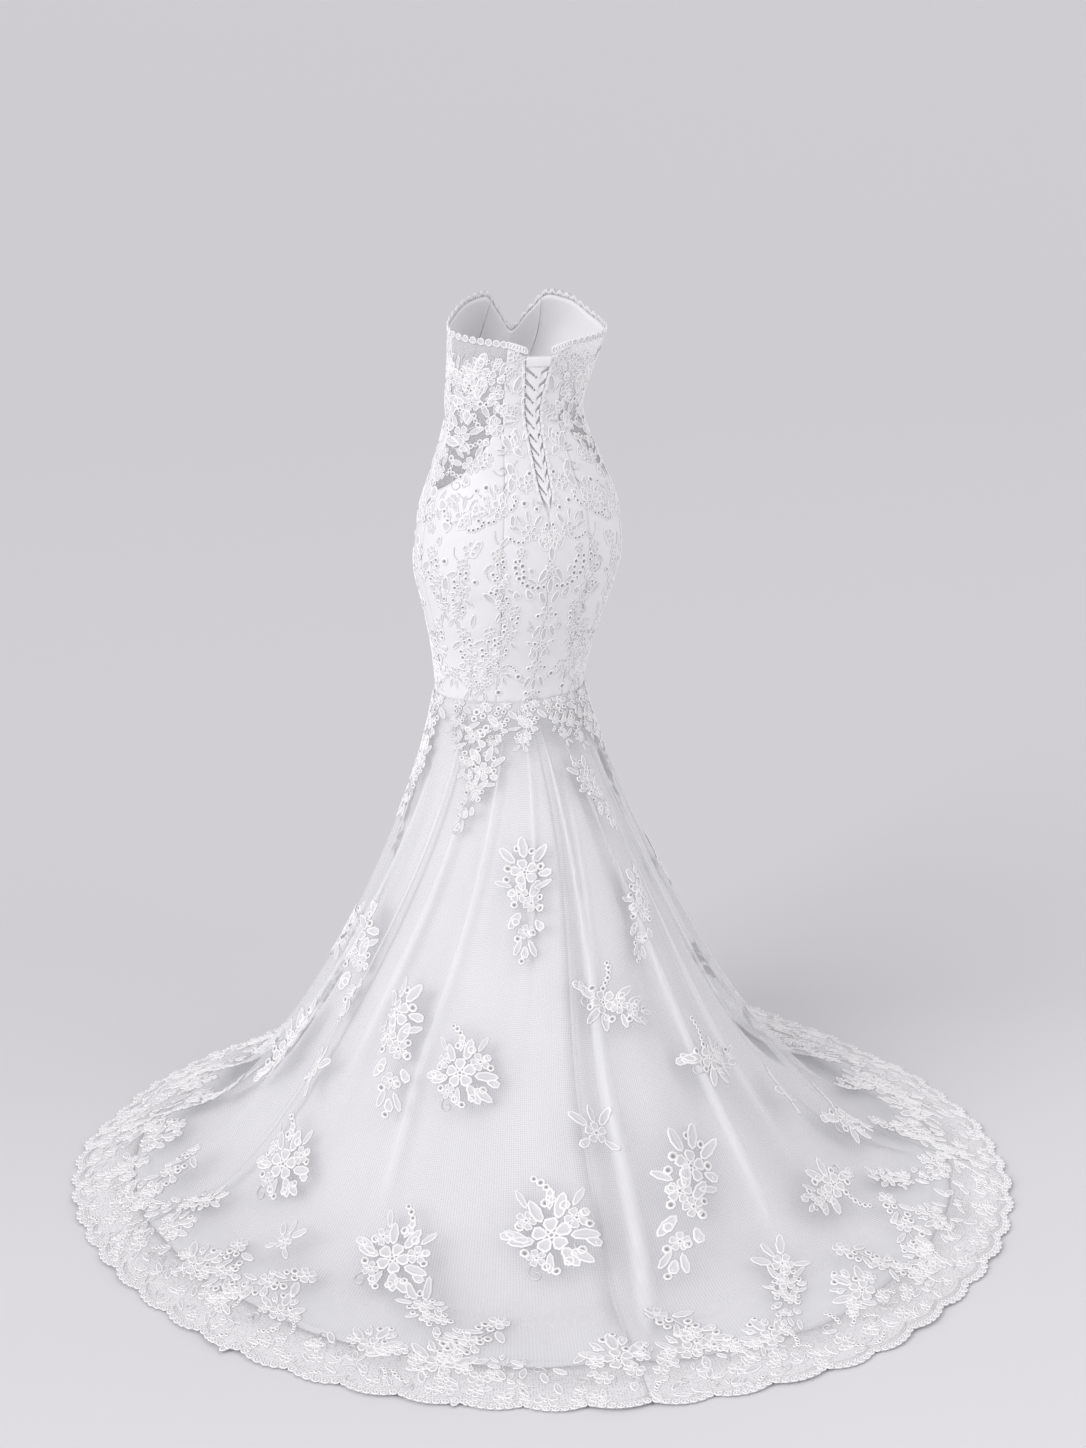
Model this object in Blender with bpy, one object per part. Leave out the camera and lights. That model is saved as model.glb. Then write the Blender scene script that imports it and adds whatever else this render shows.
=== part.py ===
"""Strapless mermaid gown with a lace-up back and a chapel train, worn pose, with no wearer.

The gown is princess cut: long panels run from the top edge to the knee, with a sheer inset at each
side of the waist. From the knee hang a satin underskirt and, outside it, a sheer net skirt whose hem
is finished with a scalloped lace border. The back is closed by a flat ribbon over a modesty panel.

Units are metres, +Z is up, the front faces -Y and the train runs toward +Y, so the wearer's left
is +X. The origin is the centre of the waist. An angle round the body starts at 0 at the centre
front, and is 90 at the wearer's left, 180 at the centre back and 270 at the wearer's right.
Heights in the tables are measured up from the floor.
"""

import math

import bmesh
import bpy
from mathutils import Vector

# Driving dimensions
WAIST_HEIGHT = 1.22          # the origin's height above the floor
KNEE_HEIGHT = 0.70           # the seam between the fitted panels and the underskirt
NET_TOP_HEIGHT = 0.735       # the net skirt is sewn on a little above that seam
SEAM_GAP = 0.0003            # pieces stand this far apart at a seam
SATIN = 0.0018               # wall of the lined satin panels
SHEER = 0.0012               # wall of the sheer side insets
UNDERSKIRT_CLOTH = 0.0015
NET_CLOTH = 0.0010
LACE_BORDER = 0.0020
TRIM = 0.0014

LACING_FOOT = 1.053          # height of the point where the back opening closes
LACING_ENDS = (1.070, 1.312)  # heights of the ribbon's two ends
LACING_ROWS = 11             # crossings of the ribbon
RIBBON = 0.0009
LACING_CLEAR = 0.0008        # between the ribbon and the edges of the opening
RIBBON_RELIEF = 0.0012       # how far each crossing stands over the next
RIBBON_RISE = 0.011          # how far a crossing's ends stand above its middle
RIBBON_LAP = 0.0015          # height over which one crossing goes down behind the next
RIBBON_CAP = 0.0012          # height of the straight band above the last crossing
RIBBON_ACROSS = (-1, -0.66, -0.33, 0, 0.33, 0.66, 1)
TAPE_WIDTH = 0.006
TAPE_INSET = 0.0006          # the tapes' distance from the edges of the opening
TAPE_ENDS = (0.006, 0.002)   # a tape starts this far above the ribbon's foot and ends this far below its top
LOOP_RISE = 0.0011           # how far a loop stands out of its tape
MODESTY_WIDE = 0.9           # share of the first panel column that the modesty panel reaches behind

BUST_HEIGHT = 1.300
BUST_ANGLE = 31              # degrees from the centre front to the fullest point of a cup
BUST_PROUD = 0.026           # how far a cup stands out of the oval section
BUST_SPREAD = (17, 0.058)    # half-size of a cup, in degrees and in metres

HEM_BORDER = 0.095           # width of the lace border at the hem, without its scallops
SCALLOP_DEPTH = 0.014
SCALLOPS = 80                # round the whole hem
SCALLOP_FULLNESS = 0.7       # power of the sine that shapes a scallop, rounder below 1
NET_COLUMNS = 120            # columns round the net skirt
BORDER_WALK = 0.004          # step, in share of the fall, of the search for the border's start
BORDER_GAP = 0.0045          # share of the border's width that its seam takes
BORDER_ROWS = (1, 0.55, 0)
BORDER_STEPS = 2             # border columns for each column of the net skirt
EDGE_LOBES = 3               # points of the top trim for each of its lobes
EDGE_TRIM = (0.004, 0.011)   # the top trim's height in a notch and at the middle of a lobe

# Sections of the fitted part. Columns: height, half-width, depth in front, depth at the back,
# middle toward the wearer's left, and turn of the section counter-clockwise from above, in degrees.
HALF_WIDTH, FRONT, BACK, MIDDLE, TURN = range(1, 6)
SECTIONS = (
    (0.60, 0.152, 0.110, 0.115, 0.010, 8),
    (0.66, 0.138, 0.102, 0.104, 0.011, 10),
    (0.74, 0.131, 0.100, 0.104, 0.010, 12),
    (0.80, 0.140, 0.104, 0.112, 0.006, 13),
    (0.88, 0.162, 0.110, 0.126, 0.000, 14),
    (0.97, 0.184, 0.114, 0.138, -0.004, 14),
    (1.05, 0.176, 0.112, 0.130, -0.006, 14),
    (1.13, 0.146, 0.102, 0.104, -0.004, 13),
    (1.22, 0.118, 0.094, 0.084, 0.000, 11),
    (1.28, 0.124, 0.098, 0.086, -0.010, 8),
    (1.34, 0.134, 0.098, 0.092, -0.022, 5),
    (1.42, 0.140, 0.094, 0.094, -0.028, 4),
)

# Edges round the body. Columns: angle from the centre front, height of the top edge, and height of
# the line that ends the sheer insets, which is also where the rows of the panels change spacing.
TOP_EDGE, INSET_FOOT = range(1, 3)
EDGES = (
    (0, 1.332, 1.160),
    (14, 1.362, 1.155),
    (30, 1.392, 1.140),
    (48, 1.385, 1.120),
    (70, 1.360, 1.100),
    (95, 1.343, 1.092),
    (120, 1.336, 1.132),
    (147, 1.330, 1.204),
    (180, 1.316, 1.204),
)

# Half-width of the opening at the centre back. Columns: height, half-width.
OPEN_HALF = 1
OPENING = (
    (LACING_FOOT, 0.0),
    (1.080, 0.0080),
    (1.100, 0.0098),
    (1.180, 0.0110),
    (1.225, 0.0125),
    (1.270, 0.0165),
    (1.330, 0.0230),
)

# Outline of the hem on the floor. Columns: angle from the centre back, distance from the waist's
# axis on the wearer's left and on the right, and share of it at which the cloth meets the floor.
HEM_LEFT, HEM_RIGHT, LANDING = range(1, 4)
HEM = (
    (0, 1.172, 1.172, 0.80),
    (15, 1.152, 1.152, 0.80),
    (30, 1.090, 1.072, 0.80),
    (45, 0.998, 0.978, 0.79),
    (60, 0.905, 0.868, 0.78),
    (75, 0.810, 0.755, 0.79),
    (90, 0.692, 0.650, 0.81),
    (105, 0.600, 0.585, 0.85),
    (120, 0.520, 0.545, 0.90),
    (140, 0.480, 0.495, 0.94),
    (160, 0.440, 0.445, 0.96),
    (180, 0.425, 0.425, 0.97),
)

# Guide points of the line in which the skirt falls from knee to floor. Columns: angle from the
# centre back, distance and height of the upper guide, distance of the lower guide before landing.
UPPER_OUT, UPPER_HEIGHT, LOWER_BACK = range(1, 4)
FALL = (
    (0, 0.265, 0.565, 0.210),
    (45, 0.185, 0.540, 0.250),
    (90, 0.178, 0.520, 0.195),
    (135, 0.155, 0.500, 0.100),
    (180, 0.150, 0.500, 0.060),
)

# Folds of the net skirt. Columns: angle from the centre back (left positive), half-width in
# degrees, and height of the ridge at its fullest, in metres.
NET_FOLDS = (
    (2, 6, 0.022), (-11, 6, 0.015), (-24, 7, 0.020), (-38, 7, 0.015), (-52, 7, 0.021),
    (-66, 7, 0.016), (-81, 8, 0.021), (-98, 8, 0.018), (-116, 9, 0.022), (-135, 9, 0.016),
    (-154, 9, 0.020), (-173, 9, 0.016), (168, 9, 0.019), (149, 9, 0.016), (130, 9, 0.022),
    (112, 8, 0.017), (95, 8, 0.022), (79, 7, 0.016), (64, 7, 0.022), (49, 7, 0.016),
    (34, 7, 0.020), (18, 7, 0.014),
)
# Folds of the underskirt, in the same columns.
SATIN_FOLDS = (
    (8, 13, 0.012), (-20, 12, 0.009), (-48, 13, 0.012), (-78, 13, 0.009), (-110, 14, 0.010),
    (-144, 14, 0.009), (-178, 14, 0.010), (146, 14, 0.009), (112, 14, 0.011), (80, 13, 0.009),
    (50, 13, 0.012), (28, 10, 0.008),
)

# Long panels. Columns: name, first and last angle, columns across, and part of the height.
WHOLE, LOWER, UPPER = "whole", "lower", "upper"
BACK_COLUMNS = 6
CENTRE_BACK_LEFT = ("centre_back_left", 147, 180, BACK_COLUMNS, WHOLE)
CENTRE_BACK_RIGHT = ("centre_back_right", 180, 213, BACK_COLUMNS, WHOLE)
PANELS = (
    ("side_front_right", 265, 336, 11, WHOLE),
    ("front_panel", -24, 24, 8, WHOLE),
    ("side_front_left", 24, 95, 11, WHOLE),
    ("side_back_left", 95, 147, 8, LOWER),
    ("sheer_inset_left", 95, 147, 8, UPPER),
    CENTRE_BACK_LEFT,
    CENTRE_BACK_RIGHT,
    ("sheer_inset_right", 213, 265, 8, UPPER),
    ("side_back_right", 213, 265, 8, LOWER),
)
LOWER_ROWS = 10
UPPER_ROWS = 6
LACING_FOOT_ROW = 7          # the back opening closes at this row

# Lengths of the top trim, each with the panels that it stands on, counter-clockwise.
TOP_TRIM = (
    ("top_lace_front", ("side_front_right", "front_panel", "side_front_left")),
    ("top_lace_left", ("sheer_inset_left", "centre_back_left")),
    ("top_lace_right", ("centre_back_right", "sheer_inset_right")),
)

# Gores of both skirts and of the border. Columns: name, first and last angle.
GORES = (
    ("front", -54, 54),
    ("left", 54, 126),
    ("back_left", 126, 180),
    ("back_right", 180, 234),
    ("right", 234, 306),
)
NET_ROWS = (0.0, 0.06, 0.16, 0.29, 0.43, 0.57, 0.70, 0.84, 1.0)
SATIN_ROWS = (0.0, 0.10, 0.24, 0.42, 0.60, 0.78, 1.0)
SATIN_COLUMNS = 60
SATIN_SHORT = 0.045          # the underskirt stops this far inside the border at the back
SHORT_IN_FRONT = (0.15, 40, 60)  # share of that at the front, its half-width and the rise's, in degrees
LANDED = 0.80                # share of the fall at which the cloth is on the floor
LAID_LENGTH = 0.012          # least length of cloth on the floor
TURN_ENDS = 0.5              # share of the fall at which the hips' turn has died away
FOLDS_OPEN = 0.55            # share at which the folds are at their fullest
FOLDS_LAID = (0.60, 0.40, 0.86)  # where they start to flatten, over what share, and by how much

# The two skirts. Columns: height of the top, how far the top stands outside the panels, resting
# distance inside the net skirt, height where the cloth comes to the floor, and height at the hem.
TOP, PROUD, INSIDE, LANDING_LIFT, HEM_LIFT = range(5)
NET_SKIRT = (NET_TOP_HEIGHT, NET_CLOTH + 0.0007, 0.0, 0.016, LACE_BORDER + 0.0003)
UNDERSKIRT = (KNEE_HEIGHT - SEAM_GAP, 0.0, 0.034, 0.0035, UNDERSKIRT_CLOTH + 0.0002)


def between(table, column, where):
    """A column's value at a place in the first column, on a smooth curve through the rows."""
    count = len(table)
    if where <= table[0][0]:
        return table[0][column]
    if where >= table[-1][0]:
        return table[-1][column]
    i = next(k for k in range(count - 1) if where <= table[k + 1][0])
    x0, x1 = table[i][0], table[i + 1][0]
    y0, y1 = table[i][column], table[i + 1][column]

    def slope(k):
        if k == 0 or k == count - 1:
            return 0.0
        before = (table[k][column] - table[k - 1][column]) / (table[k][0] - table[k - 1][0])
        after = (table[k + 1][column] - table[k][column]) / (table[k + 1][0] - table[k][0])
        return 0.0 if before * after <= 0 else 2 * before * after / (before + after)

    span = x1 - x0
    t = (where - x0) / span
    rise, fall = slope(i) * span, slope(i + 1) * span
    return (
        (2 * t**3 - 3 * t**2 + 1) * y0
        + (t**3 - 2 * t**2 + t) * rise
        + (3 * t**2 - 2 * t**3) * y1
        + (t**3 - t**2) * fall
    )


def round_body(angle):
    """The angle from the centre front, 0 to 180 on either side."""
    angle = (angle + 180) % 360 - 180
    return abs(angle)


def cup(angle, height):
    """How far the two cups stand out of the oval section."""
    off = (round_body(angle) - BUST_ANGLE) / BUST_SPREAD[0]
    up = (height - BUST_HEIGHT) / BUST_SPREAD[1]
    return BUST_PROUD * math.exp(-off * off / 2 - up * up / 2)


def body_point(angle, height):
    """A point on the outside of the fitted part, with heights from the floor."""
    turn = math.radians(angle + between(SECTIONS, TURN, height))
    flat = math.radians(angle)
    depth = between(SECTIONS, FRONT if math.cos(flat) > 0 else BACK, height)
    wide = between(SECTIONS, HALF_WIDTH, height)
    reach = 1 / math.hypot(math.sin(flat) / wide, math.cos(flat) / depth) + cup(angle, height)
    return Vector((
        between(SECTIONS, MIDDLE, height) + reach * math.sin(turn),
        -reach * math.cos(turn),
        height - WAIST_HEIGHT,
    ))


def fold_height(folds, from_back):
    """The folds' height at an angle from the centre back, before it is shared along the fall."""
    total = 0.0
    for at, half_width, ridge in folds:
        off = (from_back - at + 180) % 360 - 180
        if abs(off) < half_width:
            total += ridge * (1 + math.cos(math.pi * off / half_width)) / 2
    return total


def hem_distance(from_back):
    """The net skirt's hem, with its border, measured from the waist's axis."""
    return between(HEM, HEM_LEFT if from_back >= 0 else HEM_RIGHT, abs(from_back))


def eased(share):
    """0 to 1 with a soft start and end."""
    share = min(1.0, max(0.0, share))
    return share * share * (3 - 2 * share)


def fall_point(skirt, angle, share, hem_short):
    """A point on a line of a skirt's fall. share is 0 at the top and 1 at the hem."""
    from_back = (180 - angle + 180) % 360 - 180
    across = abs(from_back)
    hem = hem_distance(from_back) - hem_short
    start, lift = skirt[TOP], skirt[LANDING_LIFT]
    whole = hem_distance(from_back) * between(HEM, LANDING, across)
    landing = min(hem - LAID_LENGTH, whole - skirt[INSIDE])
    base = body_point(angle, start)
    middle = between(SECTIONS, MIDDLE, start)
    top_reach = math.hypot(base.x - middle, base.y) + skirt[PROUD]
    if share > LANDED:
        along = (share - LANDED) / (1 - LANDED)
        reach = landing + (hem - landing) * along
        height = lift + (skirt[HEM_LIFT] - lift) * along
    else:
        t = share / LANDED
        upper_out = between(FALL, UPPER_OUT, across) - skirt[INSIDE] / 2
        guides = (
            (top_reach, start),
            (upper_out, between(FALL, UPPER_HEIGHT, across)),
            (landing - between(FALL, LOWER_BACK, across), lift),
            (landing, lift),
        )
        weights = ((1 - t) ** 3, 3 * t * (1 - t) ** 2, 3 * t * t * (1 - t), t**3)
        reach = sum(w * g[0] for w, g in zip(weights, guides))
        height = sum(w * g[1] for w, g in zip(weights, guides))
    settled = eased(share / TURN_ENDS)
    way = math.radians(angle + between(SECTIONS, TURN, start) * (1 - settled))
    middle *= 1 - settled
    return Vector((middle + reach * math.sin(way), -reach * math.cos(way), height - WAIST_HEIGHT))


def fold_share(share):
    """How much of a fold's height shows at a share of the fall: none at the top, low on the floor."""
    start, span, loss = FOLDS_LAID
    laid = max(0.0, (share - start) / span)
    return eased(share / FOLDS_OPEN) * (1 - loss * laid)


def with_folds(plain, folds, angle, share):
    """A point of a plain surface moved out along its normal by the folds there."""
    from_back = (180 - angle + 180) % 360 - 180
    height = fold_height(folds, from_back) * fold_share(share)
    return plain(angle, share) + normal_of(plain, angle, share) * height


def normal_of(surface, first, second):
    """The outward normal of a surface of two parameters, the first in degrees round the body."""
    step = 0.4
    thin = 0.002
    low, high = max(0.0, second - thin), second + thin
    across = surface(first + step, second) - surface(first - step, second)
    down = surface(first, low) - surface(first, high)
    return across.cross(down).normalized()


def plain_net(angle, share):
    """The net skirt and its border together, down to the notches of the scallops."""
    return fall_point(NET_SKIRT, angle, share, SCALLOP_DEPTH)


def border_start(angle):
    """The share of the net's fall at which the lace border begins, found by walking up the line."""
    walked, share = 0.0, 1.0
    lower = plain_net(angle, share)
    while walked < HEM_BORDER:
        share -= BORDER_WALK
        upper = plain_net(angle, share)
        walked += (upper - lower).length
        lower = upper
    return share


def plain_satin(angle, share):
    """The underskirt, which ends closer to the border in front than at the back and sides."""
    least, half_width, rise = SHORT_IN_FRONT
    to_back = min(1.0, max(0.0, (round_body(angle) - half_width) / rise))
    short = SATIN_SHORT * (least + (1 - least) * to_back)
    return fall_point(UNDERSKIRT, angle, share, HEM_BORDER + short)


def net_surface(angle, share):
    return with_folds(plain_net, NET_FOLDS, angle, share)


def satin_surface(angle, share):
    return with_folds(plain_satin, SATIN_FOLDS, angle, share)


def body_normal(angle, height):
    step, thin = 0.5, 0.003
    across = body_point(angle + step, height) - body_point(angle - step, height)
    up = body_point(angle, height + thin) - body_point(angle, height - thin)
    return across.cross(up).normalized()


def material(name, colour, roughness):
    made = bpy.data.materials.new(name)
    made.use_nodes = True
    shader = made.node_tree.nodes["Principled BSDF"]
    shader.inputs["Base Color"].default_value = (*colour, 1)
    shader.inputs["Roughness"].default_value = roughness
    shader.inputs["Metallic"].default_value = 0
    return made


def wall(name, outer, inner, finish, collection):
    """A closed wall from two grids of points, rows from the foot up and columns counter-clockwise."""
    rows, columns = len(outer), len(outer[0])
    shape = bmesh.new()
    skins = [[[shape.verts.new(p) for p in row] for row in grid] for grid in (outer, inner)]
    out, back = skins
    for r in range(rows - 1):
        for c in range(columns - 1):
            shape.faces.new((out[r][c], out[r][c + 1], out[r + 1][c + 1], out[r + 1][c]))
            shape.faces.new((back[r][c], back[r + 1][c], back[r + 1][c + 1], back[r][c + 1]))
    for c in range(columns - 1):
        shape.faces.new((out[0][c], back[0][c], back[0][c + 1], out[0][c + 1]))
        shape.faces.new((out[-1][c], out[-1][c + 1], back[-1][c + 1], back[-1][c]))
    for r in range(rows - 1):
        shape.faces.new((out[r][0], out[r + 1][0], back[r + 1][0], back[r][0]))
        shape.faces.new((out[r][-1], back[r][-1], back[r + 1][-1], out[r + 1][-1]))
    bmesh.ops.triangulate(shape, faces=shape.faces[:])
    mesh = bpy.data.meshes.new(name)
    shape.to_mesh(mesh)
    shape.free()
    mesh.shade_smooth()
    mesh.set_sharp_from_angle(angle=math.radians(50))
    mesh.materials.append(finish)
    made = bpy.data.objects.new(name, mesh)
    collection.objects.link(made)
    return made


def grid_wall(name, rows, columns, place, thickness, finish, collection):
    """A wall where place(row, column) gives the outer point and the normal."""
    outer, inner = [], []
    for r in rows:
        spots = [place(r, c) for c in columns]
        outer.append([point for point, _ in spots])
        inner.append([point - normal * thickness for point, normal in spots])
    return wall(name, outer, inner, finish, collection)


def opening_angle(height):
    """Half of the back opening, in degrees round the body."""
    half = between(OPENING, OPEN_HALF, height) + SEAM_GAP / 2
    reach = between(SECTIONS, BACK, height)
    return math.degrees(half / reach)


def row_height(angle, row):
    """The height of a row of the fitted panels, row 0 at the knee."""
    across = round_body(angle)
    foot = between(EDGES, INSET_FOOT, across)
    if row <= LOWER_ROWS:
        return KNEE_HEIGHT + (foot - KNEE_HEIGHT) * row / LOWER_ROWS
    top = between(EDGES, TOP_EDGE, across)
    return foot + (top - foot) * (row - LOWER_ROWS) / UPPER_ROWS


def panel_angle(first, last, share, height):
    """The angle of a panel's column, with the seam gap and the back opening taken off its ends."""
    reach = between(SECTIONS, HALF_WIDTH, height)
    gap = math.degrees(SEAM_GAP / 2 / reach)
    low = first + (opening_angle(height) if first == 180 else gap)
    high = last - (opening_angle(height) if last == 180 else gap)
    return low + (high - low) * share


def panel_spot(first, last, share, row):
    """The outer point and normal of a fitted panel."""
    plain = first + (last - first) * share
    height = row_height(plain, row)
    angle = panel_angle(first, last, share, height)
    return body_point(angle, height), body_normal(angle, height)


def make_panels(collection, satin, sheer):
    for name, first, last, count, part in PANELS:
        low = LOWER_ROWS if part == UPPER else 0
        high = LOWER_ROWS if part == LOWER else LOWER_ROWS + UPPER_ROWS
        ends = {}
        if part == UPPER:
            ends[low] = SEAM_GAP

        def place(row, column, first=first, last=last, count=count, ends=ends):
            point, normal = panel_spot(first, last, column / count, row)
            return point + Vector((0, 0, ends.get(row, 0.0))), normal

        grid_wall(
            name, range(low, high + 1), range(count + 1), place,
            SHEER if part == UPPER else SATIN, sheer if part == UPPER else satin, collection,
        )


def gore_columns(first, last, total, gap_at):
    """Angles across a gore, on the skirt's own even columns, with half a seam gap at each end."""
    step = 360 / total
    count = round((last - first) / step)
    return [(first + step * i, gap_at * ((i == 0) - (i == count))) for i in range(count + 1)]


def skirt_spot(surface, column, share):
    """Outer point and normal on a skirt, with a column's seam gap turned into an angle."""
    angle, gap = column
    near = surface(angle, share)
    turned = angle + math.degrees(gap / math.hypot(near.x, near.y))
    return surface(turned, share), normal_of(surface, turned, share)


def make_skirts(collection, satin, net):
    def net_place(share, column):
        return skirt_spot(net_surface, column, share * border_start(column[0]))

    def satin_place(share, column):
        return skirt_spot(satin_surface, column, share)

    for gore, first, last in GORES:
        columns = gore_columns(first, last, NET_COLUMNS, SEAM_GAP / 2)
        grid_wall(f"net_skirt_{gore}", NET_ROWS[::-1], columns, net_place, NET_CLOTH, net, collection)
        columns = gore_columns(first, last, SATIN_COLUMNS, SEAM_GAP / 2)
        grid_wall(
            f"underskirt_{gore}", SATIN_ROWS[::-1], columns, satin_place,
            UNDERSKIRT_CLOTH, satin, collection,
        )


def border_spot(column, part):
    """A point of the hem border. part is 0 at its inner edge and 1 at its scalloped edge."""
    angle, _ = column
    step = 360 / NET_COLUMNS
    low = math.floor(angle / step + 1e-6) * step
    between_columns = max(0.0, (angle - low) / step)
    if part == 0:
        ends = [border_spot((a, column[1]), BORDER_GAP) for a in (low, low + step)]
        return mixed(ends[0], ends[1], between_columns)
    start = border_start(angle)
    point, normal = skirt_spot(net_surface, column, start + (1 - start) * part)
    if part == 1:
        phase = (angle / 360 * SCALLOPS) % 1
        out = Vector((point.x, point.y, 0)).normalized()
        point = point + out * SCALLOP_DEPTH * math.sin(math.pi * phase) ** SCALLOP_FULLNESS
    return point, normal


def make_border(collection, lace):
    total = NET_COLUMNS * BORDER_STEPS

    def place(part, column):
        return border_spot(column, part)

    for gore, first, last in GORES:
        columns = gore_columns(first, last, total, SEAM_GAP / 2)
        grid_wall(
            f"hem_lace_{gore}", BORDER_ROWS, columns, place, LACE_BORDER, lace, collection
        )


def back_spot(side, row, columns):
    """Outer point and normal on a back panel, -1 the left and 1 the right, columns from the opening."""
    share = columns / BACK_COLUMNS
    if side < 0:
        _, first, last, _, _ = CENTRE_BACK_LEFT
        return panel_spot(first, last, 1 - share, row)
    _, first, last, _, _ = CENTRE_BACK_RIGHT
    return panel_spot(first, last, share, row)


def middle_spot(row):
    height = row_height(180, row)
    return body_point(180, height), body_normal(180, height)


def on_rows(spot, height):
    """A spot at a height, on the straight line between the two rows of the panels round it."""
    rows = range(LACING_FOOT_ROW - 1, LOWER_ROWS + UPPER_ROWS)
    row = max([r for r in rows if row_height(180, r) <= height], default=LACING_FOOT_ROW - 1)
    low, high = row_height(180, row), row_height(180, row + 1)
    share = (height - low) / (high - low)
    lower, upper = spot(row), spot(row + 1)
    return lower[0].lerp(upper[0], share), lower[1].lerp(upper[1], share).normalized()


def mixed(one, other, share):
    return one[0].lerp(other[0], share), one[1].lerp(other[1], share).normalized()


def make_modesty_panel(collection, satin):
    """The panel behind the lacing, made from the back panels' own points, moved in."""

    def place(row, column):
        if column == 0:
            point, normal = middle_spot(row)
        else:
            side = -1 if column < 0 else 1
            point, normal = back_spot(side, row, 0)
            if abs(column) == 2:
                point, normal = mixed((point, normal), back_spot(side, row, 1), MODESTY_WIDE)
        return point - normal * (SATIN + 2 * SEAM_GAP), normal

    grid_wall(
        "modesty_panel", range(LACING_FOOT_ROW, LOWER_ROWS + UPPER_ROWS + 1), (-2, -1, 0, 1, 2),
        place, TRIM, satin, collection,
    )


def lacing_point(height, across, relief):
    """A point of the lacing, across from -1 to 1 between the edges of the back opening."""
    side = -1 if across < 0 else 1
    edge = on_rows(lambda row: back_spot(side, row, 0), height)
    middle = on_rows(middle_spot, height)
    point, normal = mixed(middle, edge, abs(across))
    inward = (middle[0] - edge[0]).normalized()
    return point + inward * LACING_CLEAR * abs(across) + normal * relief, normal


def make_lacing(collection, ribbon):
    """The flat ribbon, laced over itself: each crossing points down and lies over the next one."""
    foot, top = LACING_ENDS
    pitch = (top - foot - RIBBON_RISE) / LACING_ROWS
    rows = []
    for crossing in range(LACING_ROWS):
        rows.append((foot + pitch * crossing, RIBBON_RISE, RIBBON_RELIEF))
        rows.append((foot + pitch * (crossing + 1) - RIBBON_LAP, RIBBON_RISE, 0.0))
    rows.append((top - RIBBON_RISE, RIBBON_RISE, RIBBON_RELIEF))
    rows.append((top + RIBBON_CAP, 0.0, RIBBON_RELIEF))
    outer, inner = [], []
    for height, rise, relief in rows:
        spots = [(height + rise * abs(across), across) for across in RIBBON_ACROSS]
        outer.append([lacing_point(h, across, relief)[0] for h, across in spots])
        inner.append([lacing_point(h, across, -RIBBON)[0] for h, across in spots])
    wall("lacing_ribbon", outer, inner, ribbon, collection)


def make_loop_tapes(collection, ribbon):
    """A tape on each edge of the opening, raised at each loop that the ribbon passes through."""
    foot = LACING_ENDS[0] + TAPE_ENDS[0]
    top = LACING_ENDS[1] - TAPE_ENDS[1]
    steps = LACING_ROWS * 2
    for side, name in ((-1, "loop_tape_left"), (1, "loop_tape_right")):
        outer, inner = [], []
        for step in range(steps + 1):
            height = foot + (top - foot) * step / steps
            edge = on_rows(lambda row: back_spot(side, row, 0), height)
            away = on_rows(lambda row: back_spot(side, row, 1), height)
            wide = (away[0] - edge[0]).length
            raised = LOOP_RISE if step % 2 else 0.0
            spots = [mixed(edge, away, TAPE_INSET / wide), mixed(edge, away, TAPE_WIDTH / wide)]
            if side < 0:
                spots.reverse()
            outer.append([p + n * (SEAM_GAP + TRIM + raised) for p, n in spots])
            inner.append([p + n * SEAM_GAP for p, n in spots])
        wall(name, outer, inner, ribbon, collection)


def top_spot(first, last, count, step):
    """Outer point and normal on a panel's top edge, on the straight line between its columns."""
    column = min(count - 1, step // EDGE_LOBES)
    share = step / EDGE_LOBES - column
    row = LOWER_ROWS + UPPER_ROWS
    return mixed(
        panel_spot(first, last, column / count, row),
        panel_spot(first, last, (column + 1) / count, row), share,
    )


def make_top_trim(collection, lace):
    """A scalloped lace edge that stands on the top edge of each panel, in three lengths."""
    for name, carriers in TOP_TRIM:
        outer, inner = ([], []), ([], [])
        for index, (_, first, last, count, _) in enumerate(p for p in PANELS if p[0] in carriers):
            for step in range(0 if index == 0 else 1, count * EDGE_LOBES + 1):
                point, normal = top_spot(first, last, count, step)
                rise = EDGE_TRIM[0 if step % EDGE_LOBES == 0 else 1]
                up = (Vector((0, 0, 1)) - normal * normal.z).normalized()
                for row, height in enumerate((SEAM_GAP, SEAM_GAP + rise)):
                    outer[row].append(point + up * height)
                    inner[row].append(point + up * height - normal * TRIM)
        wall(name, outer, inner, lace, collection)


def build_scene():
    for old in list(bpy.data.objects):
        bpy.data.objects.remove(old)
    gown = bpy.data.collections.new("mermaid gown")
    bpy.context.scene.collection.children.link(gown)
    satin = material("ivory satin under lace", (0.86, 0.86, 0.87), 0.42)
    sheer = material("sheer side net", (0.80, 0.79, 0.79), 0.7)
    net = material("soft net", (0.84, 0.84, 0.86), 0.75)
    lace = material("corded lace", (0.90, 0.90, 0.91), 0.6)
    ribbon = material("satin ribbon", (0.88, 0.88, 0.89), 0.35)
    make_panels(gown, satin, sheer)
    make_skirts(gown, satin, net)
    make_border(gown, lace)
    make_modesty_panel(gown, satin)
    make_lacing(gown, ribbon)
    make_loop_tapes(gown, ribbon)
    make_top_trim(gown, lace)


build_scene()
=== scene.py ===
"""Looks of the strapless mermaid gown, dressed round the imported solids.

Lengths are in metres. The frame is the solids' own: +Z up, the gown faces -Y, its train runs toward
+Y and the wearer's left is +X. An angle round the gown is 0 at the centre front, 90 at the wearer's
left, 180 at the centre back and 270 at the wearer's right. Heights are measured up from the floor.
"""

import math

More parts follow.
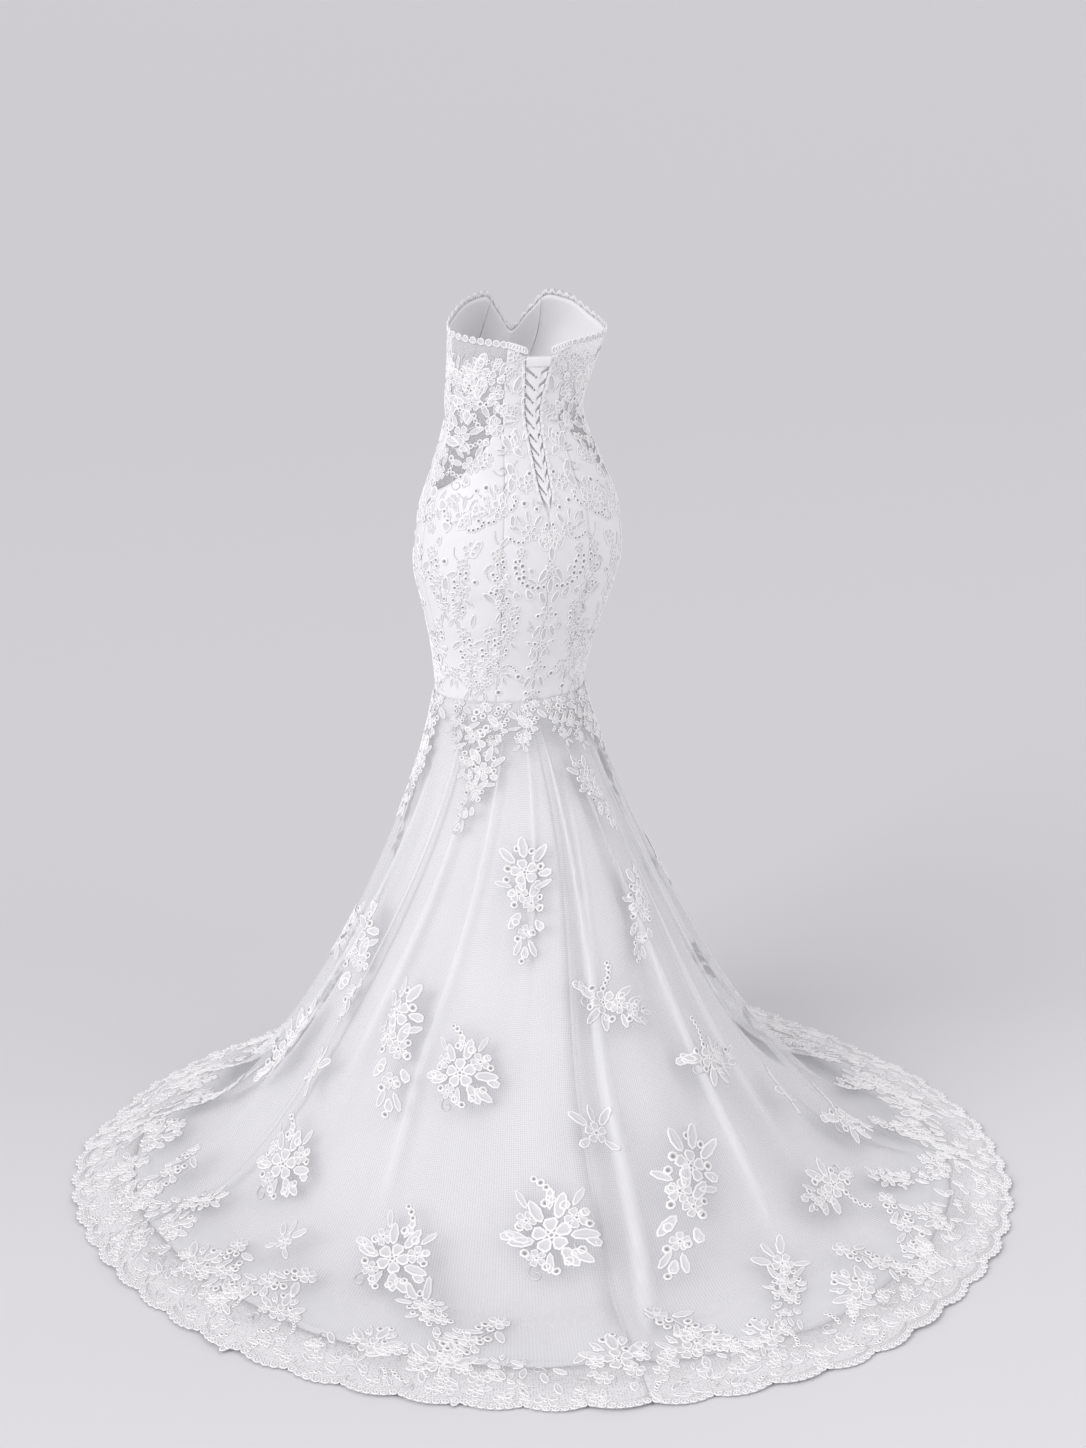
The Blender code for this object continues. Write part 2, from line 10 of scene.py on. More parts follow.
import bpy
import numpy as np
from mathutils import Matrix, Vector


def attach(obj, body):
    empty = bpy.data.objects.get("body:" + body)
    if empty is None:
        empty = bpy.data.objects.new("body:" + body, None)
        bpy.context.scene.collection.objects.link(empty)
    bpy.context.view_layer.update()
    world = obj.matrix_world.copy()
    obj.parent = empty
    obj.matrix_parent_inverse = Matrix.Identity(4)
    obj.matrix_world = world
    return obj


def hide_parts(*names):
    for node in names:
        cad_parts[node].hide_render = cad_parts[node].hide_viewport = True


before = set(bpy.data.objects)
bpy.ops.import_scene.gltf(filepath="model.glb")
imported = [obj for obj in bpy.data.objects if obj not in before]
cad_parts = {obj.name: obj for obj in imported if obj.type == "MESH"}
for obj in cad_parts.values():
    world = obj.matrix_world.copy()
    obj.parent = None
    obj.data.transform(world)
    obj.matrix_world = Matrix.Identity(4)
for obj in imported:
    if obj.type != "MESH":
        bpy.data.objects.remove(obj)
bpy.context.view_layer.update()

# Camera, floor and studio light
# A plain pale studio: the camera stands behind the gown, a little to the wearer's left and above
# the shoulders, and looks down at it. A broad soft light comes from the camera's left, and the bright
# room fills all the rest. The floor carries a band of painted light toward the camera.
WAIST_HEIGHT = 1.22
CAMERA_DISTANCE = 4.6
CAMERA_HEIGHT = 2.0
CAMERA_ROUND = math.radians(10)
CAMERA_DOWN = math.radians(16.2)
CAMERA_ASIDE = 0.048
CAMERA_LENS = 68.62
FLOOR_COLOUR = "#D9DADD"
WORLD_COLOUR = "#F8F6F9"
WORLD_STRENGTH = 0.65
# Columns: name, direction toward the light, its breadth in degrees, and strength.
LIGHTS = (
    ("key light", (0.85, 0.46, 0.52), 42, 1.46),
    ("right fill", (-0.90, 0.50, 0.34), 70, 0.66),
    ("back light", (-0.35, -0.85, 0.55), 50, 0.30),
)


def linear(code):
    """An sRGB hex colour as linear red, green, blue and alpha."""
    parts = [int(code[i:i + 2], 16) / 255 for i in (1, 3, 5)]
    return (*((p / 12.92 if p <= 0.04045 else ((p + 0.055) / 1.055) ** 2.4) for p in parts), 1.0)


def add_node(tree, kind, inputs=None, **settings):
    """Adds a shader node with its settings, and sets or links its inputs."""
    made = tree.nodes.new("ShaderNode" + kind)
    for name, value in settings.items():
        setattr(made, name, value)
    for socket, value in (inputs or {}).items():
        if isinstance(value, bpy.types.NodeSocket):
            tree.links.new(value, made.inputs[socket])
        else:
            made.inputs[socket].default_value = value
    return made


def finish_named(name):
    """A new material with its tree and its main shader."""
    made = bpy.data.materials.new(name)
    made.use_nodes = True
    return made, made.node_tree, made.node_tree.nodes["Principled BSDF"]


def only(piece):
    """Selects one piece and makes it active."""
    bpy.ops.object.select_all(action="DESELECT")
    piece.select_set(True)
    bpy.context.view_layer.objects.active = piece


bpy.ops.object.select_all(action="DESELECT")
forward = Vector((
    -math.sin(CAMERA_ROUND) * math.cos(CAMERA_DOWN),
    -math.cos(CAMERA_ROUND) * math.cos(CAMERA_DOWN),
    -math.sin(CAMERA_DOWN),
))
bpy.ops.object.camera_add(location=(
    CAMERA_DISTANCE * math.sin(CAMERA_ROUND) - CAMERA_ASIDE * math.cos(CAMERA_ROUND),
    CAMERA_DISTANCE * math.cos(CAMERA_ROUND) + CAMERA_ASIDE * math.sin(CAMERA_ROUND),
    CAMERA_HEIGHT - WAIST_HEIGHT,
), rotation=forward.to_track_quat("-Z", "Y").to_euler())
camera = bpy.context.object
camera.data.lens = CAMERA_LENS
camera.data.sensor_width = 36
camera.data.clip_end = 300
bpy.context.scene.camera = camera

for name, toward, breadth, strength in LIGHTS:
    aim = (-Vector(toward)).to_track_quat("-Z", "Y").to_euler()
    bpy.ops.object.light_add(type="SUN", location=toward, rotation=aim)
    lamp = bpy.context.object
    lamp.name = name
    lamp.data.angle = math.radians(breadth)
    lamp.data.energy = strength

world = bpy.data.worlds.new("pale studio")
world.use_nodes = True
world.node_tree.nodes["Background"].inputs["Color"].default_value = linear(WORLD_COLOUR)
world.node_tree.nodes["Background"].inputs["Strength"].default_value = WORLD_STRENGTH
bpy.context.scene.world = world
bpy.context.scene.view_settings.view_transform = "Standard"

bpy.ops.object.select_all(action="DESELECT")
bpy.ops.mesh.primitive_circle_add(
    vertices=96, radius=90, fill_type="NGON", location=(0, 0, -WAIST_HEIGHT - 0.0004)
)
floor = bpy.context.object
floor.name = "studio_floor"
floor_with_painted_light, tree, shader = finish_named("matt studio floor with painted light")
# The floor's colour is painted light: a broad band of painted light lies on it round the train and toward the
# camera, and fades to a plainer grey farther off on both sides.
place = add_node(tree, "TexCoord")
axes = add_node(tree, "SeparateXYZ", {"Vector": place.outputs["Object"]})
painted_light_band = add_node(tree, "MapRange", {0: axes.outputs["Y"], 1: -7.0, 2: 12.0})
tones = add_node(tree, "ValToRGB", {"Fac": painted_light_band.outputs["Result"]})
tones.color_ramp.elements[0].color = linear("#D2D1D3")
tones.color_ramp.elements[1].color = linear("#D2D1D3")
for position, code in ((0.326, "#D6D5D7"), (0.453, "#E9E8EA"), (0.560, "#E2E1E3"), (0.640, "#D4D3D5")):
    middle_tone = tones.color_ramp.elements.new(position)
    middle_tone.color = linear(code)
tree.links.new(tones.outputs["Color"], shader.inputs["Base Color"])
shader.inputs["Roughness"].default_value = 0.9
shader.inputs["Specular IOR Level"].default_value = 0.1
floor.data.materials.append(floor_with_painted_light)

# Satin panels of the fitted part
# Seven long princess panels of white bridal satin with a fine net over them, lined and boned, run
# from the top edge to the knee. They are sewn edge to edge, and each seam sits in a shallow groove.
KNEE_HEIGHT = 0.70
SEAM_GAP = 0.0003
SATIN_THICK = 0.0016
# Sections of the body. Columns: height, half-width, depth in front, depth at the back, middle toward
# the wearer's left, and turn of the section in degrees.
HALF_WIDTH, FRONT, BACK, MIDDLE, TURN = range(1, 6)
SECTIONS = (
    (0.60, 0.152, 0.110, 0.115, 0.010, 8),
    (0.66, 0.138, 0.102, 0.104, 0.011, 10),
    (0.74, 0.131, 0.100, 0.104, 0.010, 12),
    (0.80, 0.140, 0.104, 0.112, 0.006, 13),
    (0.88, 0.162, 0.110, 0.126, 0.000, 14),
    (0.97, 0.184, 0.114, 0.138, -0.004, 14),
    (1.05, 0.176, 0.112, 0.130, -0.006, 14),
    (1.13, 0.146, 0.102, 0.104, -0.004, 13),
    (1.22, 0.118, 0.094, 0.084, 0.000, 11),
    (1.28, 0.124, 0.098, 0.086, -0.010, 8),
    (1.34, 0.134, 0.098, 0.092, -0.022, 5),
    (1.42, 0.140, 0.094, 0.094, -0.028, 4),
)
# Columns: angle from the centre front, height of the top edge, height of the sheer insets' foot.
TOP_EDGE, INSET_FOOT = range(1, 3)
EDGES = (
    (0, 1.332, 1.160),
    (14, 1.362, 1.155),
    (30, 1.392, 1.140),
    (48, 1.385, 1.120),
    (70, 1.360, 1.100),
    (95, 1.343, 1.092),
    (120, 1.336, 1.132),
    (147, 1.330, 1.204),
    (180, 1.316, 1.204),
)
# Half-width of the laced opening at the centre back. Columns: height, half-width.
OPENING = (
    (1.053, 0.0),
    (1.080, 0.0080),
    (1.100, 0.0098),
    (1.180, 0.0110),
    (1.225, 0.0125),
    (1.270, 0.0165),
    (1.330, 0.0230),
)
CUP_ANGLE, CUP_HEIGHT, CUP_PROUD = 31, 1.300, 0.026
CUP_HALF_ANGLE, CUP_HALF_HEIGHT = 17, 0.058
FOOT_ROWS, ALL_ROWS = 10, 16
# Columns: node, first and last angle, first and last row, flat width and length, flat area.
SATIN_PANELS = (
    ("front_panel", -24, 24, 0, ALL_ROWS, 0.16, 0.68, 0.078),
    ("side_front_left", 24, 95, 0, ALL_ROWS, 0.22, 0.71, 0.118),
    ("side_back_left", 95, 147, 0, FOOT_ROWS, 0.17, 0.51, 0.064),
    ("centre_back_left", 147, 180, 0, ALL_ROWS, 0.10, 0.64, 0.042),
    ("centre_back_right", 180, 213, 0, ALL_ROWS, 0.10, 0.64, 0.042),
    ("side_back_right", 213, 265, 0, FOOT_ROWS, 0.17, 0.51, 0.064),
    ("side_front_right", 265, 336, 0, ALL_ROWS, 0.22, 0.71, 0.118),
)
GROOVE = 0.0011              # depth of the groove at a seam
GROOVE_WIDE = 0.0035
# Strain creases. Columns: angle, height, half-length across in degrees, half-height, depth, and slope
# in metres of height for each degree. A depth below 0 is a ridge.
CREASES = (
    (128, 0.905, 16, 0.007, 0.0022, 0.0011),
    (134, 0.868, 12, 0.006, -0.0016, 0.0014),
    (121, 0.842, 11, 0.007, 0.0018, 0.0008),
    (152, 0.792, 15, 0.006, 0.0020, 0.0009),
    (163, 0.768, 12, 0.005, -0.0014, 0.0006),
    (201, 0.800, 15, 0.007, 0.0022, -0.0010),
    (214, 0.776, 11, 0.005, -0.0014, -0.0013),
    (228, 0.862, 14, 0.006, 0.0020, -0.0012),
    (236, 0.826, 12, 0.007, 0.0017, -0.0007),
    (187, 0.742, 13, 0.005, 0.0016, 0.0003),
    (160, 1.206, 11, 0.006, 0.0014, -0.0011),
    (198, 1.198, 10, 0.005, 0.0013, 0.0012),
    (206, 1.232, 9, 0.005, -0.0010, 0.0010),
    (148, 1.020, 10, 0.007, 0.0012, -0.0016),
    (213, 1.036, 9, 0.006, 0.0012, 0.0018),
    (60, 0.905, 17, 0.007, 0.0020, -0.0009),
    (48, 0.852, 14, 0.006, 0.0018, -0.0013),
    (300, 0.884, 16, 0.007, 0.0020, 0.0010),
    (315, 0.836, 13, 0.006, 0.0018, 0.0012),
    (8, 0.790, 15, 0.006, 0.0018, 0.0004),
    (352, 1.210, 11, 0.006, 0.0012, -0.0009),
    (75, 1.208, 12, 0.006, 0.0014, 0.0010),
    (288, 1.214, 12, 0.006, 0.0014, -0.0010),
)


def curve(table, column, where):
    """A column's values at places in the first column, on a smooth curve through the rows."""
    x = np.array([row[0] for row in table], float)
    y = np.array([row[column] for row in table], float)
    step = np.diff(x)
    rise = np.diff(y) / step
    slope = np.zeros(len(x))
    turns = rise[:-1] * rise[1:] <= 0
    total = np.where(turns, 1.0, rise[:-1] + rise[1:])
    slope[1:-1] = np.where(turns, 0.0, 2 * rise[:-1] * rise[1:] / total)
    where = np.clip(where, x[0], x[-1])
    i = np.clip(np.searchsorted(x, where) - 1, 0, len(x) - 2)
    t = (where - x[i]) / step[i]
    return (
        (2 * t**3 - 3 * t**2 + 1) * y[i]
        + (t**3 - 2 * t**2 + t) * slope[i] * step[i]
        + (3 * t**2 - 2 * t**3) * y[i + 1]
        + (t**3 - t**2) * slope[i + 1] * step[i]
    )


def from_front(angle):
    return np.abs((angle + 180) % 360 - 180)


def body(angle, height):
    """Points on the outside of the fitted part."""
    angle, height = np.broadcast_arrays(np.asarray(angle, float), np.asarray(height, float))
    turn = np.radians(angle + curve(SECTIONS, TURN, height))
    flat = np.radians(angle)
    in_front = np.cos(flat) > 0
    depth = np.where(in_front, curve(SECTIONS, FRONT, height), curve(SECTIONS, BACK, height))
    wide = curve(SECTIONS, HALF_WIDTH, height)
    off = (from_front(angle) - CUP_ANGLE) / CUP_HALF_ANGLE
    up = (height - CUP_HEIGHT) / CUP_HALF_HEIGHT
    reach = 1 / np.hypot(np.sin(flat) / wide, np.cos(flat) / depth)
    reach = reach + CUP_PROUD * np.exp(-off * off / 2 - up * up / 2)
    return np.stack([
        curve(SECTIONS, MIDDLE, height) + reach * np.sin(turn),
        -reach * np.cos(turn),
        height - WAIST_HEIGHT,
    ], -1)


def normals(surface, first, second, step=0.4, thin=0.002):
    """Outward normals of a surface of an angle and a height."""
    across = surface(first + step, second) - surface(first - step, second)
    up = surface(first, second + thin) - surface(first, second - thin)
    out = np.cross(across, up)
    return out / np.linalg.norm(out, axis=-1, keepdims=True)


def creased_body(angle, height):
    """The fitted part with its strain creases."""
    depth = np.zeros(np.broadcast(angle, height).shape)
    for at, middle, half_angle, half_height, deep, slope in CREASES:
        off = (angle - at + 180) % 360 - 180
        up = (height - middle - slope * off) / half_height
        depth = depth - deep * np.exp(-((off / half_angle) ** 2) * 2 - up * up / 2)
    return body(angle, height) + normals(body, angle, height) * depth[..., None]


def row_height(angle, row):
    """The height of a row of the panels: 0 at the knee, FOOT_ROWS at the insets' foot."""
    across = from_front(angle)
    foot = curve(EDGES, INSET_FOOT, across)
    top = curve(EDGES, TOP_EDGE, across)
    low = KNEE_HEIGHT + (foot - KNEE_HEIGHT) * row / FOOT_ROWS
    high = foot + (top - foot) * (row - FOOT_ROWS) / (ALL_ROWS - FOOT_ROWS)
    return np.where(row <= FOOT_ROWS, low, high)


def shares_with_edges(count, edge):
    """Even shares from 0 to 1, with close ones near both ends to shape the seam grooves."""
    even = np.linspace(0, 1, count + 1)[1:-1]
    close = np.array([0.0, 0.35, 1.0, 2.0]) * edge
    even = even[(even > close[-1] * 1.3) & (even < 1 - close[-1] * 1.3)]
    return np.concatenate([close, even, 1 - close[::-1]])


def cloth(name, grid, thick, finish, spread, doubled=None):
    """A thin shell from a grid of outer points, rows from the foot up, with a UV map in metres."""
    rows, columns = grid.shape[:2]
    index = np.arange(rows * columns).reshape(rows, columns)
    faces = np.stack([index[:-1, :-1], index[:-1, 1:], index[1:, 1:], index[1:, :-1]], -1)
    mesh = bpy.data.meshes.new(name)
    mesh.from_pydata(grid.reshape(-1, 3).tolist(), [], faces.reshape(-1, 4).tolist())
    chart = mesh.uv_layers.new(name="cloth")
    corners = np.empty(len(mesh.loops), np.int32)
    mesh.loops.foreach_get("vertex_index", corners)
    chart.data.foreach_set("uv", spread.reshape(-1, 2)[corners].astype(np.float32).ravel())
    if doubled is not None:
        veil = mesh.attributes.new("doubled", "FLOAT", "POINT")
        veil.data.foreach_set("value", doubled.astype(np.float32).ravel())
    mesh.shade_smooth()
    mesh.materials.append(finish)
    piece = bpy.data.objects.new(name, mesh)
    bpy.context.scene.collection.objects.link(piece)
    if thick:
        only(piece)
        shell = piece.modifiers.new("thickness", "SOLIDIFY")
        shell.thickness = thick
        shell.offset = -1
        bpy.ops.object.modifier_apply(modifier=shell.name)
    return piece


def in_metres(grid):
    """UV of a grid: metres across along its middle row, and metres up along its middle column."""
    middle_row, middle_column = grid[len(grid) // 2], grid[:, grid.shape[1] // 2]
    across = np.append(0, np.cumsum(np.linalg.norm(np.diff(middle_row, axis=0), axis=-1)))
    up = np.append(0, np.cumsum(np.linalg.norm(np.diff(middle_column, axis=0), axis=-1)))
    return np.stack(np.meshgrid(across, up), -1)


def panel_grid(first, last, low, high, columns, rows):
    """Points of a fitted panel, pulled in a little along its seams."""
    shares = shares_with_edges(columns, GROOVE_WIDE / (math.radians(last - first) * 0.14))
    steps = np.linspace(low, high, rows + 1)
    share, row = np.meshgrid(shares, steps)
    plain = first + (last - first) * share
    height = row_height(plain, row)
    gap = np.degrees(SEAM_GAP / 2 / curve(SECTIONS, HALF_WIDTH, height))
    half = curve(OPENING, 1, height) + SEAM_GAP / 2
    opening = np.degrees(half / curve(SECTIONS, BACK, height))
    start = first + (opening if first == 180 else gap)
    end = last - (opening if last == 180 else gap)
    angle = start + (end - start) * share
    points = creased_body(angle, height)
    edge = np.minimum(share, 1 - share) * np.radians(last - first) * 0.14
    groove = GROOVE * np.exp(-((edge / GROOVE_WIDE) ** 2) * 3)
    return points - normals(body, angle, height) * groove[..., None]


# Bridal satin, woven, with a fine net laid over it: a soft broad sheen, and a faint grain of threads.
# Its real threads are 0.2 mm apart, too fine to show, so the grain is drawn at 1.2 mm.
satin, tree, shader = finish_named("bridal satin under fine net")
chart = add_node(tree, "UVMap", uv_map="cloth")
threads = add_node(tree, "TexWave", {
    "Vector": chart.outputs["UV"], "Scale": 260.0, "Distortion": 1.5, "Detail": 1.0,
}, bands_direction="DIAGONAL")
place = add_node(tree, "TexCoord")
cloud = add_node(tree, "TexNoise", {
    "Vector": place.outputs["Object"], "Scale": 9.0, "Detail": 3.0,
})
tones = add_node(tree, "ValToRGB", {"Fac": cloud.outputs["Fac"]})
tones.color_ramp.elements[0].position = 0.3
tones.color_ramp.elements[0].color = linear("#E4E3E6")
tones.color_ramp.elements[1].position = 0.75
tones.color_ramp.elements[1].color = linear("#EAE9EC")
grain = add_node(tree, "Bump", {
    "Height": threads.outputs["Fac"], "Strength": 0.25, "Distance": 0.0002,
})
tree.links.new(tones.outputs["Color"], shader.inputs["Base Color"])
tree.links.new(grain.outputs["Normal"], shader.inputs["Normal"])
shader.inputs["Roughness"].default_value = 0.46
shader.inputs["Specular IOR Level"].default_value = 0.4
shader.inputs["Sheen Weight"].default_value = 0.25
shader.inputs["Sheen Roughness"].default_value = 0.4

# The panels' satin is a copy of the same satin painted a shade lighter than the underskirt's: painted
# light, for the brighter light on the fitted part.
painted_lighter_satin = satin.copy()
painted_lighter_satin.name = "bridal satin under fine net painted lighter"
for node in painted_lighter_satin.node_tree.nodes:
    if node.bl_idname == "ShaderNodeValToRGB":
        node.color_ramp.elements[0].color = linear("#EDECEF")
        node.color_ramp.elements[1].color = linear("#F3F2F5")

for name, first, last, low, high, width, length, area in SATIN_PANELS:
    columns = round((last - first) / 2.0)
    grid = panel_grid(first, last, low, high, columns, 5 * (high - low))
    panel = cloth(name + "_satin", grid, SATIN_THICK, painted_lighter_satin, in_metres(grid))
    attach(panel, "root")
    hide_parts(name)

# Sheer insets at the sides of the waist
# One layer of fine net with no satin behind it fills each side of the bodice, from the top edge down
# to a slanting seam, so that the inside of the gown shows softly through it between the lace motifs.
INSETS = (("sheer_inset_left", 95, 147), ("sheer_inset_right", 213, 265))
INSET_THICK = 0.0009

# Fine net of white nylon thread with 1 mm meshes: the eye sees a light veil, not the threads, so the
# veil is drawn as one share of cover with a faint mesh in it at 2.4 mm.
sheer, tree, shader = finish_named("sheer nylon net")
chart = add_node(tree, "UVMap", uv_map="cloth")
meshes = add_node(tree, "TexVoronoi", {
    "Vector": chart.outputs["UV"], "Scale": 420.0, "Randomness": 0.25,
}, feature="DISTANCE_TO_EDGE", voronoi_dimensions="2D")
cover = add_node(tree, "MapRange", {
    0: meshes.outputs["Distance"], 1: 0.02, 2: 0.30, 3: 0.36, 4: 0.20,
})
tree.links.new(cover.outputs["Result"], shader.inputs["Alpha"])
shader.inputs["Base Color"].default_value = linear("#EFEEF1")
shader.inputs["Roughness"].default_value = 0.7
shader.inputs["Specular IOR Level"].default_value = 0.2

for name, first, last in INSETS:
    grid = panel_grid(first, last, FOOT_ROWS, ALL_ROWS, round((last - first) / 2), 40)
    inset = cloth(name + "_net", grid, INSET_THICK, sheer, in_metres(grid))
    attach(inset, "root")
    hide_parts(name)

# Underskirt
# Five gores of opaque white satin are sewn to the panels at the knee and fall in broad soft folds to
# the floor. They end inside the hem of the net skirt, where their own narrow hem rests on the floor.
HEM_BORDER = 0.095
SCALLOP_DEPTH = 0.014
LANDED = 0.80
LAID_LENGTH = 0.012
TURN_ENDS = 0.5
HEM_LEFT, HEM_RIGHT, LANDING = range(1, 4)
# Outline of the hem. Columns: angle from the centre back, distance from the waist's axis on the
# wearer's left and right, and share of it at which the cloth meets the floor.
HEM = (
    (0, 1.172, 1.172, 0.80),
    (15, 1.152, 1.152, 0.80),
    (30, 1.090, 1.072, 0.80),
    (45, 0.998, 0.978, 0.79),
    (60, 0.905, 0.868, 0.78),
    (75, 0.810, 0.755, 0.79),
    (90, 0.692, 0.650, 0.81),
    (105, 0.600, 0.585, 0.85),
    (120, 0.520, 0.545, 0.90),
    (140, 0.480, 0.495, 0.94),
    (160, 0.440, 0.445, 0.96),
    (180, 0.425, 0.425, 0.97),
)
UPPER_OUT, UPPER_HEIGHT, LOWER_BACK = range(1, 4)
# Line of the fall from knee to floor. Columns: angle from the centre back, distance and height of the
# upper guide, and distance of the lower guide before the landing.
FALL = (
    (0, 0.265, 0.565, 0.210),
    (45, 0.185, 0.540, 0.250),
    (90, 0.178, 0.520, 0.195),
    (135, 0.155, 0.500, 0.100),
    (180, 0.150, 0.500, 0.060),
)
TOP, PROUD, INSIDE, LANDING_LIFT, HEM_LIFT = range(5)
UNDERSKIRT = (KNEE_HEIGHT - SEAM_GAP, 0.0, 0.034, 0.0035, 0.0017)
SATIN_SHORT = 0.045
# Folds. Columns: angle from the centre back, half-width in degrees, and height of the ridge.
SATIN_FOLDS = (
    (8, 13, 0.012), (-20, 12, 0.009), (-48, 13, 0.012), (-78, 13, 0.009), (-110, 14, 0.010),
    (-144, 14, 0.009), (-178, 14, 0.010), (146, 14, 0.009), (112, 14, 0.011), (80, 13, 0.009),
    (50, 13, 0.012), (28, 10, 0.008),
)
# Columns: gore, first and last angle, flat width, length and area of the satin, then of the net.
GORES = (
    ("front", -54, 54, (0.62, 0.79, 0.30), (0.72, 0.80, 0.34)),
    ("left", 54, 126, (0.63, 0.95, 0.34), (0.80, 0.96, 0.40)),
    ("back_left", 126, 180, (0.82, 1.15, 0.53), (0.96, 1.22, 0.59)),
    ("back_right", 180, 234, (0.82, 1.15, 0.52), (0.96, 1.22, 0.58)),
    ("right", 234, 306, (0.60, 0.95, 0.32), (0.76, 0.94, 0.38)),
)


def eased(share):
    share = np.clip(share, 0.0, 1.0)
    return share * share * (3 - 2 * share)


def from_back(angle):
    """Degrees from the centre back, positive on the wearer's left."""
    return (180 - angle + 180) % 360 - 180


def fall(skirt, angle, share, hem_short):
    """Points of a skirt without its folds. share is 0 at the top and 1 at the hem."""
    angle, share = np.broadcast_arrays(np.asarray(angle, float), np.asarray(share, float))
    back = from_back(angle)
    across = np.abs(back)
    whole = np.where(back >= 0, curve(HEM, HEM_LEFT, across), curve(HEM, HEM_RIGHT, across))
    hem = whole - hem_short
    start, lift = skirt[TOP], skirt[LANDING_LIFT]
    landing = np.minimum(
        hem - LAID_LENGTH, whole * curve(HEM, LANDING, across) - skirt[INSIDE]
    )
    base = body(angle, start)
    middle = curve(SECTIONS, MIDDLE, np.full_like(angle, start))
    top_reach = np.hypot(base[..., 0] - middle, base[..., 1]) + skirt[PROUD]
    t = np.minimum(share / LANDED, 1.0)
    upper_out = curve(FALL, UPPER_OUT, across) - skirt[INSIDE] / 2
    lower = landing - curve(FALL, LOWER_BACK, across)
    weights = ((1 - t) ** 3, 3 * t * (1 - t) ** 2, 3 * t * t * (1 - t), t**3)
    reach = (
        weights[0] * top_reach + weights[1] * upper_out + weights[2] * lower + weights[3] * landing
    )
    height = (
        weights[0] * start + weights[1] * curve(FALL, UPPER_HEIGHT, across)
        + (weights[2] + weights[3]) * lift
    )
    laid = (share - LANDED) / (1 - LANDED)
    reach = np.where(share > LANDED, landing + (hem - landing) * laid, reach)
    height = np.where(share > LANDED, lift + (skirt[HEM_LIFT] - lift) * laid, height)
    settled = eased(share / TURN_ENDS)
    turn = curve(SECTIONS, TURN, np.full_like(angle, start)) * (1 - settled)
    way = np.radians(angle + turn)
    middle = middle * (1 - settled)
    return np.stack([middle + reach * np.sin(way), -reach * np.cos(way), height - WAIST_HEIGHT], -1)


def skirt_normals(surface, angle, share):
    """Outward normals of a surface of an angle and a share of the fall."""
    low, high = np.maximum(0.0, share - 0.002), share + 0.002
    across = surface(angle + 0.4, share) - surface(angle - 0.4, share)
    down = surface(angle, low) - surface(angle, high)
    out = np.cross(across, down)
    return out / np.linalg.norm(out, axis=-1, keepdims=True)


def fold_height(folds, angle):
    """The folds' height round the skirt, before it is shared along the fall."""
    total = np.zeros(np.shape(angle))
    for at, half, ridge in folds:
        off = (from_back(angle) - at + 180) % 360 - 180
        total += np.where(np.abs(off) < half, ridge * (1 + np.cos(np.pi * off / half)) / 2, 0)
    return total


def fold_share(share):
    """How much of a fold shows along the fall: none at the top, little where it lies down."""
    return eased(share / 0.55) * (1 - 0.86 * np.clip((share - 0.60) / 0.40, 0, None))


# Smaller creases of the satin. Columns: angle from the centre back, how far it bows to the left,
# half-width in degrees, height, and the shares of the fall between which it shows.
SATIN_CREASES = (
    (3, -3, 3.2, 0.0070, 0.05, 0.95), (-5, -4, 2.6, -0.0056, 0.10, 0.80), (-12, -5, 3.0, 0.0067, 0.04, 0.86),
    (-24, 3, 3.6, -0.0059, 0.12, 0.92), (-33, -3, 3.4, 0.0070, 0.05, 0.88), (-41, 2, 3.0, 0.0050, 0.20, 0.95),
    (-56, -3, 3.8, 0.0070, 0.06, 0.86), (-67, 3, 3.4, -0.0053, 0.14, 0.90), (-88, -2, 4.0, 0.0067, 0.05, 0.90),
    (-101, 3, 3.6, -0.0050, 0.10, 0.85), (-122, -3, 4.2, 0.0062, 0.06, 0.90), (-133, 2, 3.6, 0.0050, 0.16, 0.92),
    (-160, -3, 4.0, 0.0062, 0.06, 0.88), (170, 3, 3.8, -0.0050, 0.12, 0.90), (158, -2, 4.0, 0.0062, 0.05, 0.86),
    (133, 3, 3.8, 0.0059, 0.10, 0.92), (122, -3, 3.4, -0.0050, 0.14, 0.88), (98, 2, 3.8, 0.0064, 0.05, 0.90),
    (90, -3, 3.2, 0.0050, 0.20, 0.94), (70, 3, 3.6, -0.0056, 0.08, 0.90), (61, -3, 3.2, 0.0067, 0.05, 0.86),
    (40, 3, 3.2, 0.0067, 0.06, 0.92), (33, -2, 2.8, -0.0056, 0.14, 0.86), (19, 3, 3.0, 0.0070, 0.04, 0.90),
    (12, -2, 2.6, -0.0050, 0.16, 0.92),
)


def creases(table, angle, share):
    """Height of long creases that bow a little along the fall and die away at both ends."""
    total = np.zeros(np.broadcast(angle, share).shape)
    for at, bow, half, ridge, start, end in table:
        middle = at + bow * np.sin(np.pi * np.clip(share, 0, 1))
        off = np.abs((from_back(angle) - middle + 180) % 360 - 180) / half
        shown = eased((share - start) / 0.14) * eased((end - share) / 0.22)
        total = total + ridge * shown * np.clip(1 - off, 0, 1) ** 1.5
    return total


def plain_satin(angle, share):
    to_back = np.clip((from_front(angle) - 40) / 60, 0, 1)
    return fall(UNDERSKIRT, angle, share, HEM_BORDER + SATIN_SHORT * (0.15 + 0.85 * to_back))


def satin_skirt(angle, share):
    lift = fold_height(SATIN_FOLDS, angle) * fold_share(share)
    lift = lift + creases(SATIN_CREASES, angle, share)
    return plain_satin(angle, share) + skirt_normals(plain_satin, angle, share) * lift[..., None]


def gore_angles(first, last, columns):
    """Angles across a gore, with half a seam gap taken off each end at the hem."""
    gap = math.degrees(SEAM_GAP / 2 / 1.1)
    return np.linspace(first + gap, last - gap, columns + 1)


